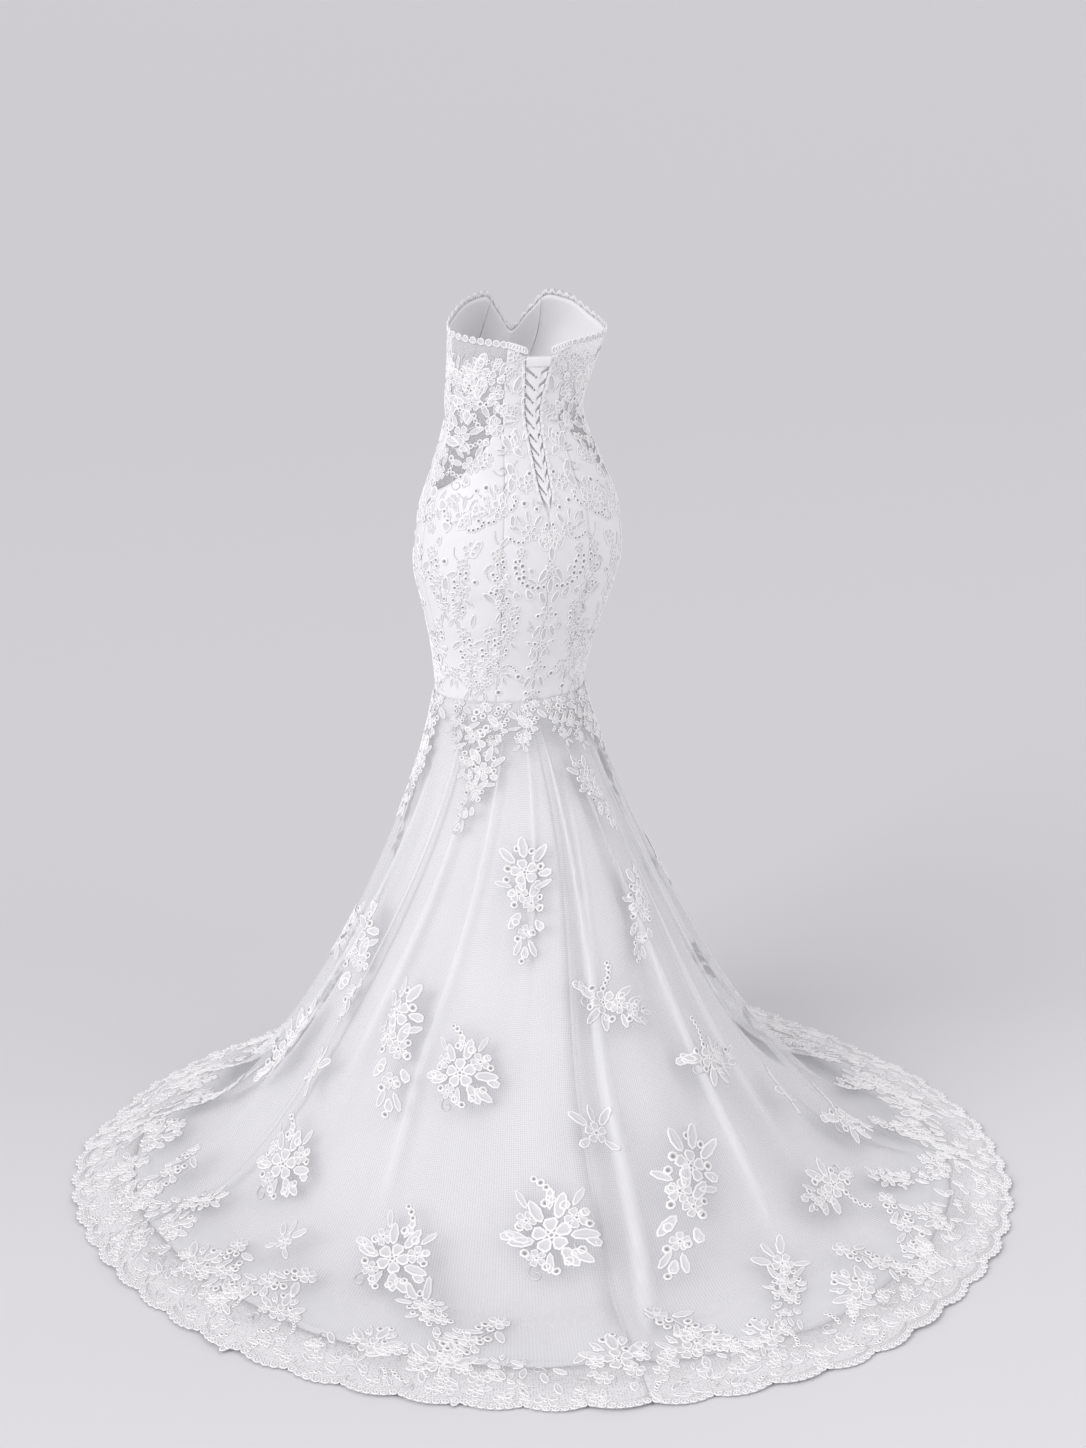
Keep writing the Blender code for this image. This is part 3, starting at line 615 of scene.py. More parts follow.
for gore, first, last, (width, length, area), _ in GORES:
    angle, share = np.meshgrid(
        gore_angles(first, last, round((last - first) / 2.0)), np.linspace(1, 0, 46)
    )
    grid = satin_skirt(angle, share)
    skirt = cloth(f"underskirt_{gore}_satin", grid, 0.0013, satin, in_metres(grid))
    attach(skirt, "root")
    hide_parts(f"underskirt_{gore}")

# Net skirt
# Five gores of soft white tulle hang free over the satin from just above the knee seam. The tulle
# stands away from the satin in tubular folds, and narrow creases run down it from the seam.
NET_TOP_HEIGHT = 0.735
NET_THICK = 0.0007
NET_SKIRT = (NET_TOP_HEIGHT, 0.0017, 0.0, 0.016, 0.0023)
NET_FOLDS = (
    (2, 6, 0.022), (-11, 6, 0.015), (-24, 7, 0.020), (-38, 7, 0.015), (-52, 7, 0.021),
    (-66, 7, 0.016), (-81, 8, 0.021), (-98, 8, 0.018), (-116, 9, 0.022), (-135, 9, 0.016),
    (-154, 9, 0.020), (-173, 9, 0.016), (168, 9, 0.019), (149, 9, 0.016), (130, 9, 0.022),
    (112, 8, 0.017), (95, 8, 0.022), (79, 7, 0.016), (64, 7, 0.022), (49, 7, 0.016),
    (34, 7, 0.020), (18, 7, 0.014),
)
# Narrow creases in the tulle. Columns: angle from the centre back, how far its middle bows to the
# wearer's left, half-width in degrees, height, and the shares of the fall at which the crease starts
# and dies away. Height below 0 is a trough.
NARROW_FOLDS = (
    (1.0, -5.5, 1.3, 0.0062, 0.02, 0.96), (5.5, 2.5, 2.2, -0.0035, 0.05, 0.60),
    (10.5, -2, 1.4, 0.0032, 0.03, 0.46), (-7.5, 3, 1.6, 0.0030, 0.10, 0.62),
    (-13, -8.5, 1.1, 0.005, 0.03, 0.74), (-20, 2, 1.8, -0.0030, 0.08, 0.55),
    (-29, -3.5, 1.5, 0.0040, 0.05, 0.66), (-33, 3, 2.0, -0.0030, 0.16, 0.60),
    (-43, -2, 1.6, 0.0036, 0.02, 0.58), (-58, 2.5, 1.7, 0.0042, 0.04, 0.70),
    (-73, -3, 1.8, 0.0036, 0.02, 0.60), (-89, 2, 1.9, 0.0040, 0.06, 0.66),
    (-107, -2.5, 2.0, 0.0036, 0.02, 0.60), (-125, 3, 2.1, 0.0040, 0.05, 0.68),
    (-144, -2, 2.0, 0.0036, 0.02, 0.60), (-164, 2.5, 2.1, 0.0038, 0.06, 0.70),
    (177, 3, 2.0, 0.0036, 0.03, 0.62), (158, -2, 2.1, 0.0040, 0.05, 0.70),
    (139, 2, 2.0, 0.0036, 0.02, 0.60), (121, -3, 2.0, 0.0040, 0.04, 0.68),
    (103, 2.5, 1.9, 0.0036, 0.06, 0.62), (87, -2, 1.8, 0.0040, 0.02, 0.66),
    (71, 3, 1.7, 0.0036, 0.08, 0.60), (57, -2.5, 1.6, 0.0042, 0.03, 0.70),
    (41, 2, 1.5, 0.0036, 0.02, 0.56), (30, -3, 1.5, -0.0032, 0.10, 0.60),
    (25, 2, 1.4, 0.0042, 0.04, 0.68), (14, 2.5, 1.3, -0.0026, 0.12, 0.52),
)


def plain_net(angle, share):
    return fall(NET_SKIRT, angle, share, SCALLOP_DEPTH)


def net_skirt(angle, share):
    lift = fold_height(NET_FOLDS, angle) * fold_share(share) + creases(NARROW_FOLDS, angle, share)
    return plain_net(angle, share) + skirt_normals(plain_net, angle, share) * lift[..., None]


def border_shares():
    """The share of the fall at which the lace border begins, every 3 degrees round the hem."""
    shares = 1 - 0.004 * np.arange(120)
    angles = np.arange(0, 361, 3.0)
    walk = plain_net(angles[:, None], shares)
    walked = np.cumsum(np.linalg.norm(np.diff(walk, axis=1), axis=-1), axis=1)
    return angles, shares[1 + np.argmax(walked >= HEM_BORDER, axis=1)]


BORDER_ANGLES, BORDER_SHARES = border_shares()


def border_start(angle):
    return np.interp(np.asarray(angle, float) % 360, BORDER_ANGLES, BORDER_SHARES)


# Soft tulle of fine nylon thread: a light veil whose folds show as paler and greyer bands. Its real
# meshes are 1.2 mm wide and too fine to show, so they are drawn at 3 mm and only just seen.
tulle, tree, shader = finish_named("soft nylon tulle")
chart = add_node(tree, "UVMap", uv_map="cloth")
meshes = add_node(tree, "TexVoronoi", {
    "Vector": chart.outputs["UV"], "Scale": 330.0, "Randomness": 0.2,
}, feature="DISTANCE_TO_EDGE", voronoi_dimensions="2D")
cover = add_node(tree, "MapRange", {
    0: meshes.outputs["Distance"], 1: 0.02, 2: 0.30, 3: 0.26, 4: 0.16,
})
doubled = add_node(tree, "Attribute", attribute_name="doubled")
veil = add_node(tree, "Math", {
    0: doubled.outputs["Fac"], 1: 0.42, 2: cover.outputs["Result"],
}, operation="MULTIPLY_ADD")
tree.links.new(veil.outputs["Value"], shader.inputs["Alpha"])
shader.inputs["Base Color"].default_value = linear("#F9F9FB")
shader.inputs["Roughness"].default_value = 0.65
shader.inputs["Specular IOR Level"].default_value = 0.2
shader.inputs["Sheen Weight"].default_value = 0.2

for gore, first, last, _, (width, length, area) in GORES:
    angle, part = np.meshgrid(
        gore_angles(first, last, round((last - first) / (0.6 if first in (126, 180) else 0.9))),
        np.linspace(1, 0, 64),
    )
    grid = net_skirt(angle, part * border_start(angle))
    doubled = np.clip(creases(NARROW_FOLDS, angle, part * border_start(angle)) / 0.004, 0, 1)
    doubled = np.maximum(doubled, 0.75 * np.clip(1 - part / 0.07, 0, 1))
    doubled = np.maximum(doubled, 0.9 * eased((part - 0.86) / 0.14))
    skirt = cloth(f"net_skirt_{gore}_tulle", grid, NET_THICK, tulle, in_metres(grid), doubled)
    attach(skirt, "root")
    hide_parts(f"net_skirt_{gore}")

# Corded lace on the satin panels
# Flowers, leaves, buds and scrolls embroidered on net, each outlined with a raised white cord, are
# cut out and stitched flat over the panels, close together above and in hanging garlands below.
CORD_WIDE = 0.0025
CORD_HIGH = 0.0018
SUNK = 0.62                  # share of a cord's height that the stitched fill lies below its crest
UNDER = -0.0003              # a motif's foot, just inside the cloth that carries it
# Tones of the lace, in order: a cord's crest; the stitched fill, partly its own greyer stitching and partly painted
# shade; painted shade, as a thin line of painted contact shadow at a motif's foot and inside rings and eyelets; and
# the darker painted shade in an eyelet's hole.
PALE, SHADED, PAINTED_SHADE, PAINTED_HOLE_SHADE = 1.0, 0.88, 0.72, 0.30


def outline(length, width, count, fullness=0.0, point=1.0):
    """Points round a petal or leaf that starts at the origin and points up."""
    rows = []
    for i in range(count):
        way = 2 * math.pi * i / count
        along = (1 - math.cos(way)) / 2
        side = math.copysign(abs(math.sin(way)) ** point, math.sin(way))
        rows.append((width / 2 * side * (1 + fullness * (2 * along - 1)), length * along))
    return rows


def raised(points, rim=CORD_WIDE, high=CORD_HIGH, tone=SHADED, sunk=SUNK, middle=None):
    """A shape with a raised rim and a sunk fill: a blank drawn out, extruded up and inset twice.

    middle is the tone of the fill's middle, for the painted shade in an eyelet's hole.
    """
    bpy.ops.object.select_all(action="DESELECT")
    bpy.ops.mesh.primitive_circle_add(vertices=len(points), radius=1, fill_type="NGON")
    blank = bpy.context.object
    for vertex, (x, y) in zip(blank.data.vertices, points):
        vertex.co = (x, y, UNDER)
    bpy.ops.object.mode_set(mode="EDIT")
    bpy.ops.mesh.select_all(action="SELECT")
    bpy.ops.mesh.extrude_region_move(
        TRANSFORM_OT_translate={"value": (0, 0, high * 0.5 - UNDER)}
    )
    bpy.ops.mesh.inset(thickness=rim / 2, depth=high * 0.5)
    bpy.ops.mesh.inset(thickness=rim / 2, depth=-high * sunk)
    bpy.ops.mesh.poke()
    bpy.ops.mesh.select_all(action="SELECT")
    bpy.ops.mesh.quads_convert_to_tris()
    bpy.ops.mesh.normals_make_consistent(inside=False)
    bpy.ops.object.mode_set(mode="OBJECT")
    places = np.array([v.co for v in blank.data.vertices])
    faces = np.array([p.vertices for p in blank.data.polygons])
    at_foot = places[:, 2] < UNDER / 2
    faces = faces[~at_foot[faces].all(axis=1)]
    in_fill = np.abs(places[:, 2] - high * (1 - sunk)) < high * 0.05
    bpy.data.objects.remove(blank)
    # Points at the foot get painted shade, a thin line of painted contact shadow round the motif.
    tones = np.where(in_fill, tone, np.where(at_foot, PAINTED_SHADE, PALE))
    # The poke's middle point gets the painted shade of the hole.
    if middle is not None:
        tones[-1] = middle
    return places, faces, tones


def corded(points, wide=CORD_WIDE, high=CORD_HIGH):
    """A raised cord along a line, with its foot inside the cloth and both ends closed."""
    line = np.array(points, float)
    ahead = np.gradient(line, axis=0)
    ahead /= np.linalg.norm(ahead, axis=1, keepdims=True)
    side = np.stack([-ahead[:, 1], ahead[:, 0]], -1) * wide / 2
    count = len(line)
    places = np.zeros((count, 3, 3))
    places[:, 0, :2], places[:, 1, :2], places[:, 2, :2] = line - side, line, line + side
    places[:, (0, 2), 2] = UNDER
    places[:, 1, 2] = high
    faces = []
    for i in range(count - 1):
        a, b = 3 * i, 3 * i + 3
        for one, two in ((0, 1), (1, 2)):
            faces += [(a + one, b + one, b + two), (a + one, b + two, a + two)]
    end = 3 * (count - 1)
    faces += [(0, 1, 2), (end, end + 2, end + 1)]
    # Both edges of the cord's foot get painted shade, a thin line of painted contact shadow.
    return places.reshape(-1, 3), np.array(faces), np.tile([PAINTED_SHADE, PALE, PAINTED_SHADE], count)


def group(*rows):
    """One motif from rows of motif, x, y, turn in degrees and scale. A scale below 0 mirrors it."""
    places, faces, tones, start = [], [], [], 0
    for (points, triangles, tone), x, y, turn, scale in rows:
        moved = points.copy()
        moved[:, :2] *= abs(scale)
        if scale < 0:
            moved[:, 0] *= -1
            triangles = triangles[:, ::-1]
        c, s = math.cos(math.radians(turn)), math.sin(math.radians(turn))
        moved[:, :2] = moved[:, :2] @ np.array([[c, s], [-s, c]]) + (x / 1000, y / 1000)
        places.append(moved)
        faces.append(triangles + start)
        tones.append(tone)
        start += len(points)
    return np.concatenate(places), np.concatenate(faces), np.concatenate(tones)


def spiral(length, turns, count=12):
    """Points of a scroll that runs up from the origin and curls in at its end."""
    rows, x, y = [(0.0, 0.0)], 0.0, 0.0
    for i in range(count):
        way = math.radians(90) - turns * math.pi * 2 * (i / count) ** 1.7
        x += math.cos(way) * length / count
        y += math.sin(way) * length / count
        rows.append((x, y))
    return rows


def round_points(radius, count):
    return [
        (radius * math.cos(math.radians(360 / count * i)), radius * math.sin(math.radians(360 / count * i)))
        for i in range(count)
    ]


def flower_of(middle_reach, scale, count, hole):
    """Petals round an eyelet. middle_reach is in millimetres."""
    rows = []
    for i in range(count):
        turn = 360 / count * i
        way = math.radians(turn)
        rows.append((petal, -middle_reach * math.sin(way), middle_reach * math.cos(way), turn, scale))
    return group(*rows, (eyelet, 0, 0, 0, hole))


def chain(count, step=9.0, bend=0.0, scale=1.0):
    """A row of small rings that grows up from the origin and bends by some degrees a ring."""
    rows, x, y, way = [], 0.0, 0.0, 0.0
    for i in range(count):
        rows.append((ring, x, y, 0, scale * (1.0 if i % 2 else 0.86)))
        x -= math.sin(math.radians(way)) * step * scale
        y += math.cos(math.radians(way)) * step * scale
        way += bend
    return group(*rows)


petal = raised(outline(0.0150, 0.0130, 7, 0.42, 0.8))
# Eyelets and rings: the sunk fill inside their rim is painted shade, and their middle is a darker painted shade in
# the hole.
eyelet = raised(
    round_points(0.0034, 6), rim=0.0022, high=0.0020, tone=PAINTED_SHADE, sunk=0.8, middle=PAINTED_HOLE_SHADE
)
ring = raised(round_points(0.0054, 7), rim=0.0032, high=0.0020, tone=PAINTED_SHADE, sunk=0.8, middle=PAINTED_HOLE_SHADE)
leaf = group(
    (raised(outline(0.0300, 0.0135, 8, -0.1, 1.15)), 0, 0, 0, 1),
    (corded([(0, 0.003), (0.0006, 0.013), (0, 0.025)], 0.0016, 0.0014), 0, 0, 0, 1),
)
slim_leaf = raised(outline(0.0240, 0.0082, 7, 0.1, 1.1), rim=0.0018)
bud = group((raised(outline(0.0190, 0.0115, 7, 0.35, 0.9)), 0, 0, 0, 1), (eyelet, 0, 12.6, 0, 0.62))
scroll = corded(spiral(0.052, 0.95, 10))
tendril = corded(spiral(0.034, 0.40, 6))
flower = flower_of(2.6, 1.0, 5, 1.1)
small_flower = flower_of(1.6, 0.64, 5, 0.85)
dots = chain(5, bend=14)
leaf_trio = group((leaf, 0, 0, 0, 1), (slim_leaf, -3, -2, 48, 0.95), (slim_leaf, 3, -2, -48, 0.95))
sprig = group(
    (tendril, 0, 0, 0, 1), (leaf, -2, 12, 55, 0.8), (slim_leaf, 3, 16, -48, 0.9),
    (slim_leaf, 1, 27, 28, 0.9), (bud, 8, 31, -20, 0.9),
)
fan = group(
    (flower, 0, 12, 8, 0.95), (leaf, -13, 20, 52, 0.85), (leaf, 13, 21, -50, 0.85),
    (slim_leaf, -4, 30, 12, 1.0), (slim_leaf, 6, 29, -16, 1.0), (chain(4, 9, -16), -17, 0, 70, 0.9),
    (chain(4, 9, 16), 17, 0, -70, 0.9),
)
# A garland hangs down from the origin: flowers and lobes close together along a swaying stem.
garland = group(
    (corded([(0.000, 0.0), (0.005, -0.02), (0.001, -0.045), (-0.005, -0.07), (-0.001, -0.095),
             (0.004, -0.118)], 0.0018, 0.0014), 0, 0, 0, 1),
    (small_flower, 1, -3, 10, 1.15), (leaf, 9, -17, -128, 0.8), (ring, -8, -15, 0, 1.0),
    (ring, -9, -25, 0, 0.9), (ring, 2, -19, 0, 0.9), (slim_leaf, 1, -28, 132, 0.95),
    (ring, 11, -36, 0, 1.0), (ring, 4, -42, 0, 0.85), (small_flower, -4, -52, 40, 1.1),
    (ring, 9, -47, 0, 0.95), (ring, -14, -42, 0, 0.9), (bud, 5, -56, -128, 0.9),
    (slim_leaf, -9, -64, 128, 1.0), (leaf, -1, -72, -146, 0.85), (ring, 10, -72, 0, 0.9),
    (ring, -8, -82, 0, 0.9), (small_flower, -1, -98, 0, 0.95), (ring, 7, -88, 0, 0.95),
    (ring, -10, -92, 0, 0.85), (slim_leaf, 6, -108, -152, 0.95), (slim_leaf, 0, -110, 168, 0.95),
    (ring, 8, -98, 0, 0.8),
)
# The centre of the back: a leafy column between two curved arms.
lyre = group(
    (flower, 0, 44, 0, 1.05), (small_flower, -19, 50, 20, 0.95), (small_flower, 19, 50, -20, 0.95),
    (leaf, -8, 26, 30, 1.0), (leaf, 8, 26, -30, 1.0), (leaf, 0, 8, 0, 1.0), (leaf, -8, -2, 150, 0.95),
    (leaf, 8, -2, -150, 0.95), (leaf_trio, 0, -18, 180, 1.0), (small_flower, 0, -4, 0, 1.1),
    (chain(9, 9, 14, 1.1), 12, -34, -96, 1.0), (chain(9, 9, -14, 1.1), -12, -34, 96, 1.0),
    (small_flower, 52, 26, 0, 0.9), (small_flower, -52, 26, 0, 0.9), (slim_leaf, 22, -30, -60, 1.0),
    (slim_leaf, -22, -30, 60, 1.0), (bud, 30, -14, -30, 0.9), (bud, -30, -14, 30, 0.9),
)
column = group(
    (leaf, -6, 40, 24, 1.0), (leaf, 6, 40, -24, 1.0), (flower, 0, 24, 36, 0.9), (leaf, -9, 2, 156, 0.95),
    (leaf, 9, 2, -156, 0.95), (leaf, 0, -2, 180, 1.0), (small_flower, 0, -38, 0, 1.05),
    (ring, -14, -34, 0, 1.0), (ring, 14, -34, 0, 1.0), (slim_leaf, -9, -40, 150, 1.0),
    (slim_leaf, 9, -40, -150, 1.0), (ring, -17, 20, 0, 1.0), (ring, 17, 20, 0, 1.0),
    (scroll, -15, -6, 120, 0.7), (scroll, 15, -6, -120, -0.7),
)


def metric(surface, angle, height):
    """Lengths on a surface for one degree of angle and for one unit of height."""
    across = surface(angle + 0.5, height) - surface(angle - 0.5, height)
    up = surface(angle, height + 0.004) - surface(angle, height - 0.004)
    return np.linalg.norm(across, axis=-1), np.linalg.norm(up, axis=-1) / 0.008


def laid(motifs, surface, plain, lift=0.0):
    """Lays rows of motif, angle, height or share, turn and scale on a surface, point by point.

    plain is the same surface without its folds, on which the motifs' sizes are measured.
    """
    places, faces, tones, start = [], [], [], 0
    for motif, angle, height, turn, scale in motifs:
        points, triangles, tone = group((motif, 0, 0, turn, scale))
        where = np.broadcast_to((angle, height), (len(points), 2))
        places.append(np.hstack([points, where]))
        faces.append(triangles + start)
        tones.append(tone)
        start += len(points)
    x, y, z, angle, height = np.concatenate(places).T
    tall = metric(plain, angle, height)[1]
    tall = metric(plain, angle, height + y / tall / 2)[1]
    height = height + y / tall
    angle = angle + x / metric(plain, angle, height)[0]
    out = normals(surface, angle, height)
    points = surface(angle, height) + out * (z + lift)[:, None]
    return points, np.concatenate(faces), np.concatenate(tones)


def lace_piece(name, motifs, finish):
    """One joined mesh of laid motifs with their tones."""
    points, faces, tones = motifs
    mesh = bpy.data.meshes.new(name)
    mesh.from_pydata(points.tolist(), [], faces.tolist())
    mesh.attributes.new("tone", "FLOAT", "POINT").data.foreach_set("value", tones.astype(np.float32))
    mesh.shade_smooth()
    mesh.set_sharp_from_angle(angle=math.radians(75))
    mesh.materials.append(finish)
    piece = bpy.data.objects.new(name, mesh)
    bpy.context.scene.collection.objects.link(piece)
    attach(piece, "root")


# Cotton and rayon embroidery thread: matt white cords, and a fill of fine parallel stitches that
# reads a shade greyer, partly from its own stitching and partly as painted shade of the fill sunk
# below the cords. Stitches are 0.4 mm apart; they are drawn at 1.3 mm to show at all.
lace_thread, tree, shader = finish_named("rayon embroidery thread")
place = add_node(tree, "TexCoord")
tone = add_node(tree, "Attribute", attribute_name="tone")
stitches = add_node(tree, "TexWave", {
    "Vector": place.outputs["Object"], "Scale": 240.0, "Distortion": 3.0, "Detail": 1.0,
}, bands_direction="DIAGONAL")
# The ramp's greys are painted shade: in eyelet holes, at motifs' feet, and partly in the sunk fill.
ramp = add_node(tree, "ValToRGB", {"Fac": tone.outputs["Fac"]})
ramp.color_ramp.elements[0].position = 0.30
ramp.color_ramp.elements[0].color = linear("#918C8C")
ramp.color_ramp.elements[1].position = 1.0
ramp.color_ramp.elements[1].color = linear("#FFFFFF")
for position, code in ((PAINTED_SHADE, "#AEABAC"), (SHADED, "#DDDBDE")):
    middle_tone = ramp.color_ramp.elements.new(position)
    middle_tone.color = linear(code)
relief = add_node(tree, "Bump", {
    "Height": stitches.outputs["Fac"], "Strength": 0.35, "Distance": 0.0004,
})
tree.links.new(ramp.outputs["Color"], shader.inputs["Base Color"])
tree.links.new(relief.outputs["Normal"], shader.inputs["Normal"])
shader.inputs["Roughness"].default_value = 0.5
shader.inputs["Specular IOR Level"].default_value = 0.45
shader.inputs["Sheen Weight"].default_value = 0.15

# Main motifs of the panels, each laid on both sides of the centre back. Columns: motif, degrees from
# the centre back, height, turn in degrees as seen on the wearer's right, and scale.
PANEL_LACE = (
    (fan, 14, 1.020, -18, 0.9), (fan, 34, 1.060, -34, 1.0), (fan, 60, 1.040, 16, 1.0),
    (fan, 88, 1.040, -12, 1.0), (fan, 112, 1.062, 14, 1.0), (fan, 142, 1.050, -12, 1.0),
    (fan, 170, 1.072, 10, 1.0), (fan, 44, 1.190, 24, 1.0), (fan, 56, 1.128, -30, 0.95),
    (fan, 72, 1.172, 16, 1.05), (fan, 60, 1.228, -14, 1.0), (fan, 78, 1.262, 20, 1.0),
    (fan, 47, 1.270, -20, 1.0), (fan, 64, 1.302, 150, 0.85), (fan, 80, 1.112, -40, 0.9),
    (leaf_trio, 22, 1.255, 16, 1.1), (leaf_trio, 26, 1.160, -24, 1.1), (fan, 128, 1.240, 0, 1.1),
    (fan, 149, 1.290, 14, 1.1), (fan, 104, 1.270, -12, 1.0), (fan, 168, 1.200, -8, 1.1), (dots, 22, 0.985, 150, 1.1), (dots, 30, 0.960, -160, 1.1),
    (garland, 23, 0.900, 14, 0.9), (garland, 36, 0.998, -6, 0.95), (garland, 40, 0.862, 4, 1.0),
    (garland, 56, 0.980, 10, 0.95), (garland, 59, 0.858, -6, 1.0), (garland, 76, 0.995, -8, 1.0),
    (garland, 79, 0.868, 6, 1.05), (garland, 97, 0.980, 10, 1.0), (garland, 99, 0.856, -6, 1.0),
    (garland, 117, 0.995, -8, 1.0), (garland, 119, 0.868, 6, 1.05), (garland, 137, 0.980, 8, 1.0),
    (garland, 140, 0.856, -6, 1.0), (garland, 157, 0.995, -8, 1.0), (garland, 159, 0.868, 6, 1.05),
    (garland, 175, 0.985, 4, 1.0), (garland, 176, 0.860, -4, 1.0), (fan, 31, 0.800, 180, 0.7),
    (fan, 49, 0.790, 172, 0.7), (fan, 69, 0.790, 184, 0.7), (fan, 90, 0.790, 176, 0.7),
    (fan, 109, 0.790, 184, 0.7), (fan, 129, 0.790, 176, 0.7), (fan, 149, 0.790, 184, 0.7),
    (fan, 168, 0.790, 180, 0.7),
)
# Motifs of the centre back, laid once. Columns: motif, angle, height, turn and scale.
CENTRE_LACE = (
    (lyre, 181, 0.972, 0, 1.0), (column, 181, 0.868, 0, 0.95), (column, 180, 0.776, 0, 0.85),
    (leaf_trio, 180.5, 1.030, 180, 0.9),
)
# Zones of the closer filling. Columns: lowest and highest height, and spacing between motifs.
FILL_ZONES = (
    (1.145, 1.395, 0.0150), (1.060, 1.145, 0.0175), (0.930, 1.060, 0.0235), (0.740, 0.930, 0.0330),
)
FILLERS = (
    (small_flower, 1.25), (leaf, 1.10), (slim_leaf, 1.25), (bud, 1.20), (leaf, 0.90), (scroll, 0.85),
    (ring, 1.2), (petal, 1.30), (small_flower, 1.05), (tendril, 1.1), (ring, 1.0), (slim_leaf, 1.05),
    (leaf, 1.20), (bud, 1.05),
)
random = np.random.default_rng(20)


def top_height(angle):
    return curve(EDGES, TOP_EDGE, from_front(angle))


def opening_degrees(height):
    half = curve(OPENING, 1, height)
    return math.degrees(half / curve(SECTIONS, BACK, height))


def fill_places(taken):
    """Places for filler motifs on one side, as far apart as their zone asks."""
    rows = []
    spots = np.zeros((4000, 2))
    count = len(taken)
    spots[:count] = taken
    for low, high, apart in FILL_ZONES:
        tries = int(9.0 * (high - low) * 0.45 / apart**2)
        for _ in range(tries):
            back = random.uniform(1.5, 178.5)
            height = random.uniform(low, high)
            if height > float(top_height(180 - back)) - 0.012:
                continue
            if height > 1.045 and back < float(opening_degrees(height)) + 6:
                continue
            reach = float(curve(SECTIONS, HALF_WIDTH, height))
            spot = (math.radians(back) * reach, height)
            if np.min(np.hypot(*(spots[:count] - spot).T)) < apart:
                continue
            spots[count] = spot
            count += 1
            which = int(random.integers(len(FILLERS)))
            motif, scale = FILLERS[which]
            to_edge = float(top_height(180 - back)) - height
            hangs = height < 1.15 or to_edge < 0.045
            flow = 180 + random.uniform(-55, 55) if hangs else random.uniform(0, 360)
            rows.append((motif, back, height, flow, scale * random.uniform(0.85, 1.15)))
    return rows


def trail_spots():
    """Where the main motifs lie, so that the fillers keep off them."""
    spots = [(0.0, 0.72 + 0.016 * i) for i in range(20)]
    spots += [(0.03, 0.95), (0.045, 0.97), (0.055, 0.995), (0.02, 1.015), (0.018, 0.99)]
    for motif, back, height, turn, scale in PANEL_LACE:
        reach = float(curve(SECTIONS, HALF_WIDTH, height))
        x = math.radians(back) * reach
        if motif is garland:
            for down in (0.0, 0.027, 0.054, 0.081, 0.108):
                lean = math.sin(math.radians(turn)) * down
                spots.append((x + lean * scale, height - down * scale))
        else:
            spots += [(x, height), (x, height + 0.018 * scale)]
    return spots


one_side = list(PANEL_LACE) + fill_places(trail_spots())
both_sides = []
for motif, back, height, turn, scale in one_side:
    both_sides.append((motif, 180 + back, height, turn, scale))
    both_sides.append((motif, 180 - back, height, -turn, -scale))
both_sides += CENTRE_LACE
LACE_AREAS = (("back", 135, 225), ("right", 225, 315), ("front", -45, 45), ("left", 45, 135))
for area, first, last in LACE_AREAS:
    rows = [row for row in both_sides if (row[1] - first) % 360 < last - first]
    lace_piece(f"panel_lace_{area}", laid(rows, creased_body, body), lace_thread)

# Scalloped lace border
# The hem of the net skirt carries a deep band of the same corded lace: a narrow scalloped edging with
# small lobes and two cords, and above it flowers, leaves and scrolls that thin out into the net.
SCALLOP_TURN = 4.5           # degrees of the hem for one scallop
SCALLOP_FULLNESS = 0.7
LOBE_WIDE = 0.0135
EDGING_DEEP = 0.020
BORDER_THICK = 0.0012
# Columns: gore, flat width, length and area of the border.
BORDERS = (
    ("front", 0.82, 0.105, 0.078), ("left", 0.80, 0.105, 0.078), ("back_left", 1.05, 0.105, 0.100),
    ("back_right", 1.05, 0.105, 0.098), ("right", 0.78, 0.105, 0.074),
)


def hem_net(angle, inward, skirt=net_skirt):
    """The net and its border, with the second place in metres inward from the scallops' notches."""
    share = 1 - np.maximum(inward, 0) / HEM_BORDER * (1 - border_start(angle))
    point = skirt(angle, share)
    way = point * (1, 1, 0)
    way = way / np.linalg.norm(way, axis=-1, keepdims=True)
    return point + way * np.maximum(-inward, 0)[..., None]


def plain_hem(angle, inward):
    return hem_net(angle, inward, plain_net)


def scallop_reach(angle):
    phase = (angle / SCALLOP_TURN) % 1
    return SCALLOP_DEPTH * np.sin(np.pi * phase) ** SCALLOP_FULLNESS


def lobed(radius, hole, count=8):
    """A round lobe of the edging with an eyelet in it."""
    ways = [math.radians(360 / count * i) for i in range(count)]
    rim = raised([(radius * math.cos(w), radius * math.sin(w)) for w in ways])
    return group((rim, 0, 0, 0, 1), (eyelet, 0, 0, 0, hole))


lobe = lobed(LOBE_WIDE / 2, 0.55)


def edging(wide):
    """The narrow edging over one scallop of this width: lobes, two cords and a row of eyelets."""
    def edge(phase):
        phase = min(max(phase, 0.0), 1.0)
        return -SCALLOP_DEPTH * math.sin(math.pi * phase) ** SCALLOP_FULLNESS

    count = max(3, round(wide / 0.0138))
    rows = []
    for i in range(count):
        phase = (i + 0.5) / count
        x, y = (phase - 0.5) * wide * 1000, edge(phase) * 1000 + 4.6
        rows.append((lobe, x, y, 0, wide / count / LOBE_WIDE * 1.03))
    steps = 9
    for up, high in ((0.0130, 0.0013), (0.0172, 0.0015)):
        line = [((i / steps - 0.5) * wide * 1.02, edge(i / steps) * 0.92 + up) for i in range(steps + 1)]
        rows.append((corded(line, 0.0018, high), 0, 0, 0, 1))
    for i in range(count - 1):
        phase = (i + 1) / count
        rows.append((eyelet, (phase - 0.5) * wide * 1000, edge(phase) * 920 + 9.6, 0, 0.5))
    return group(*rows)


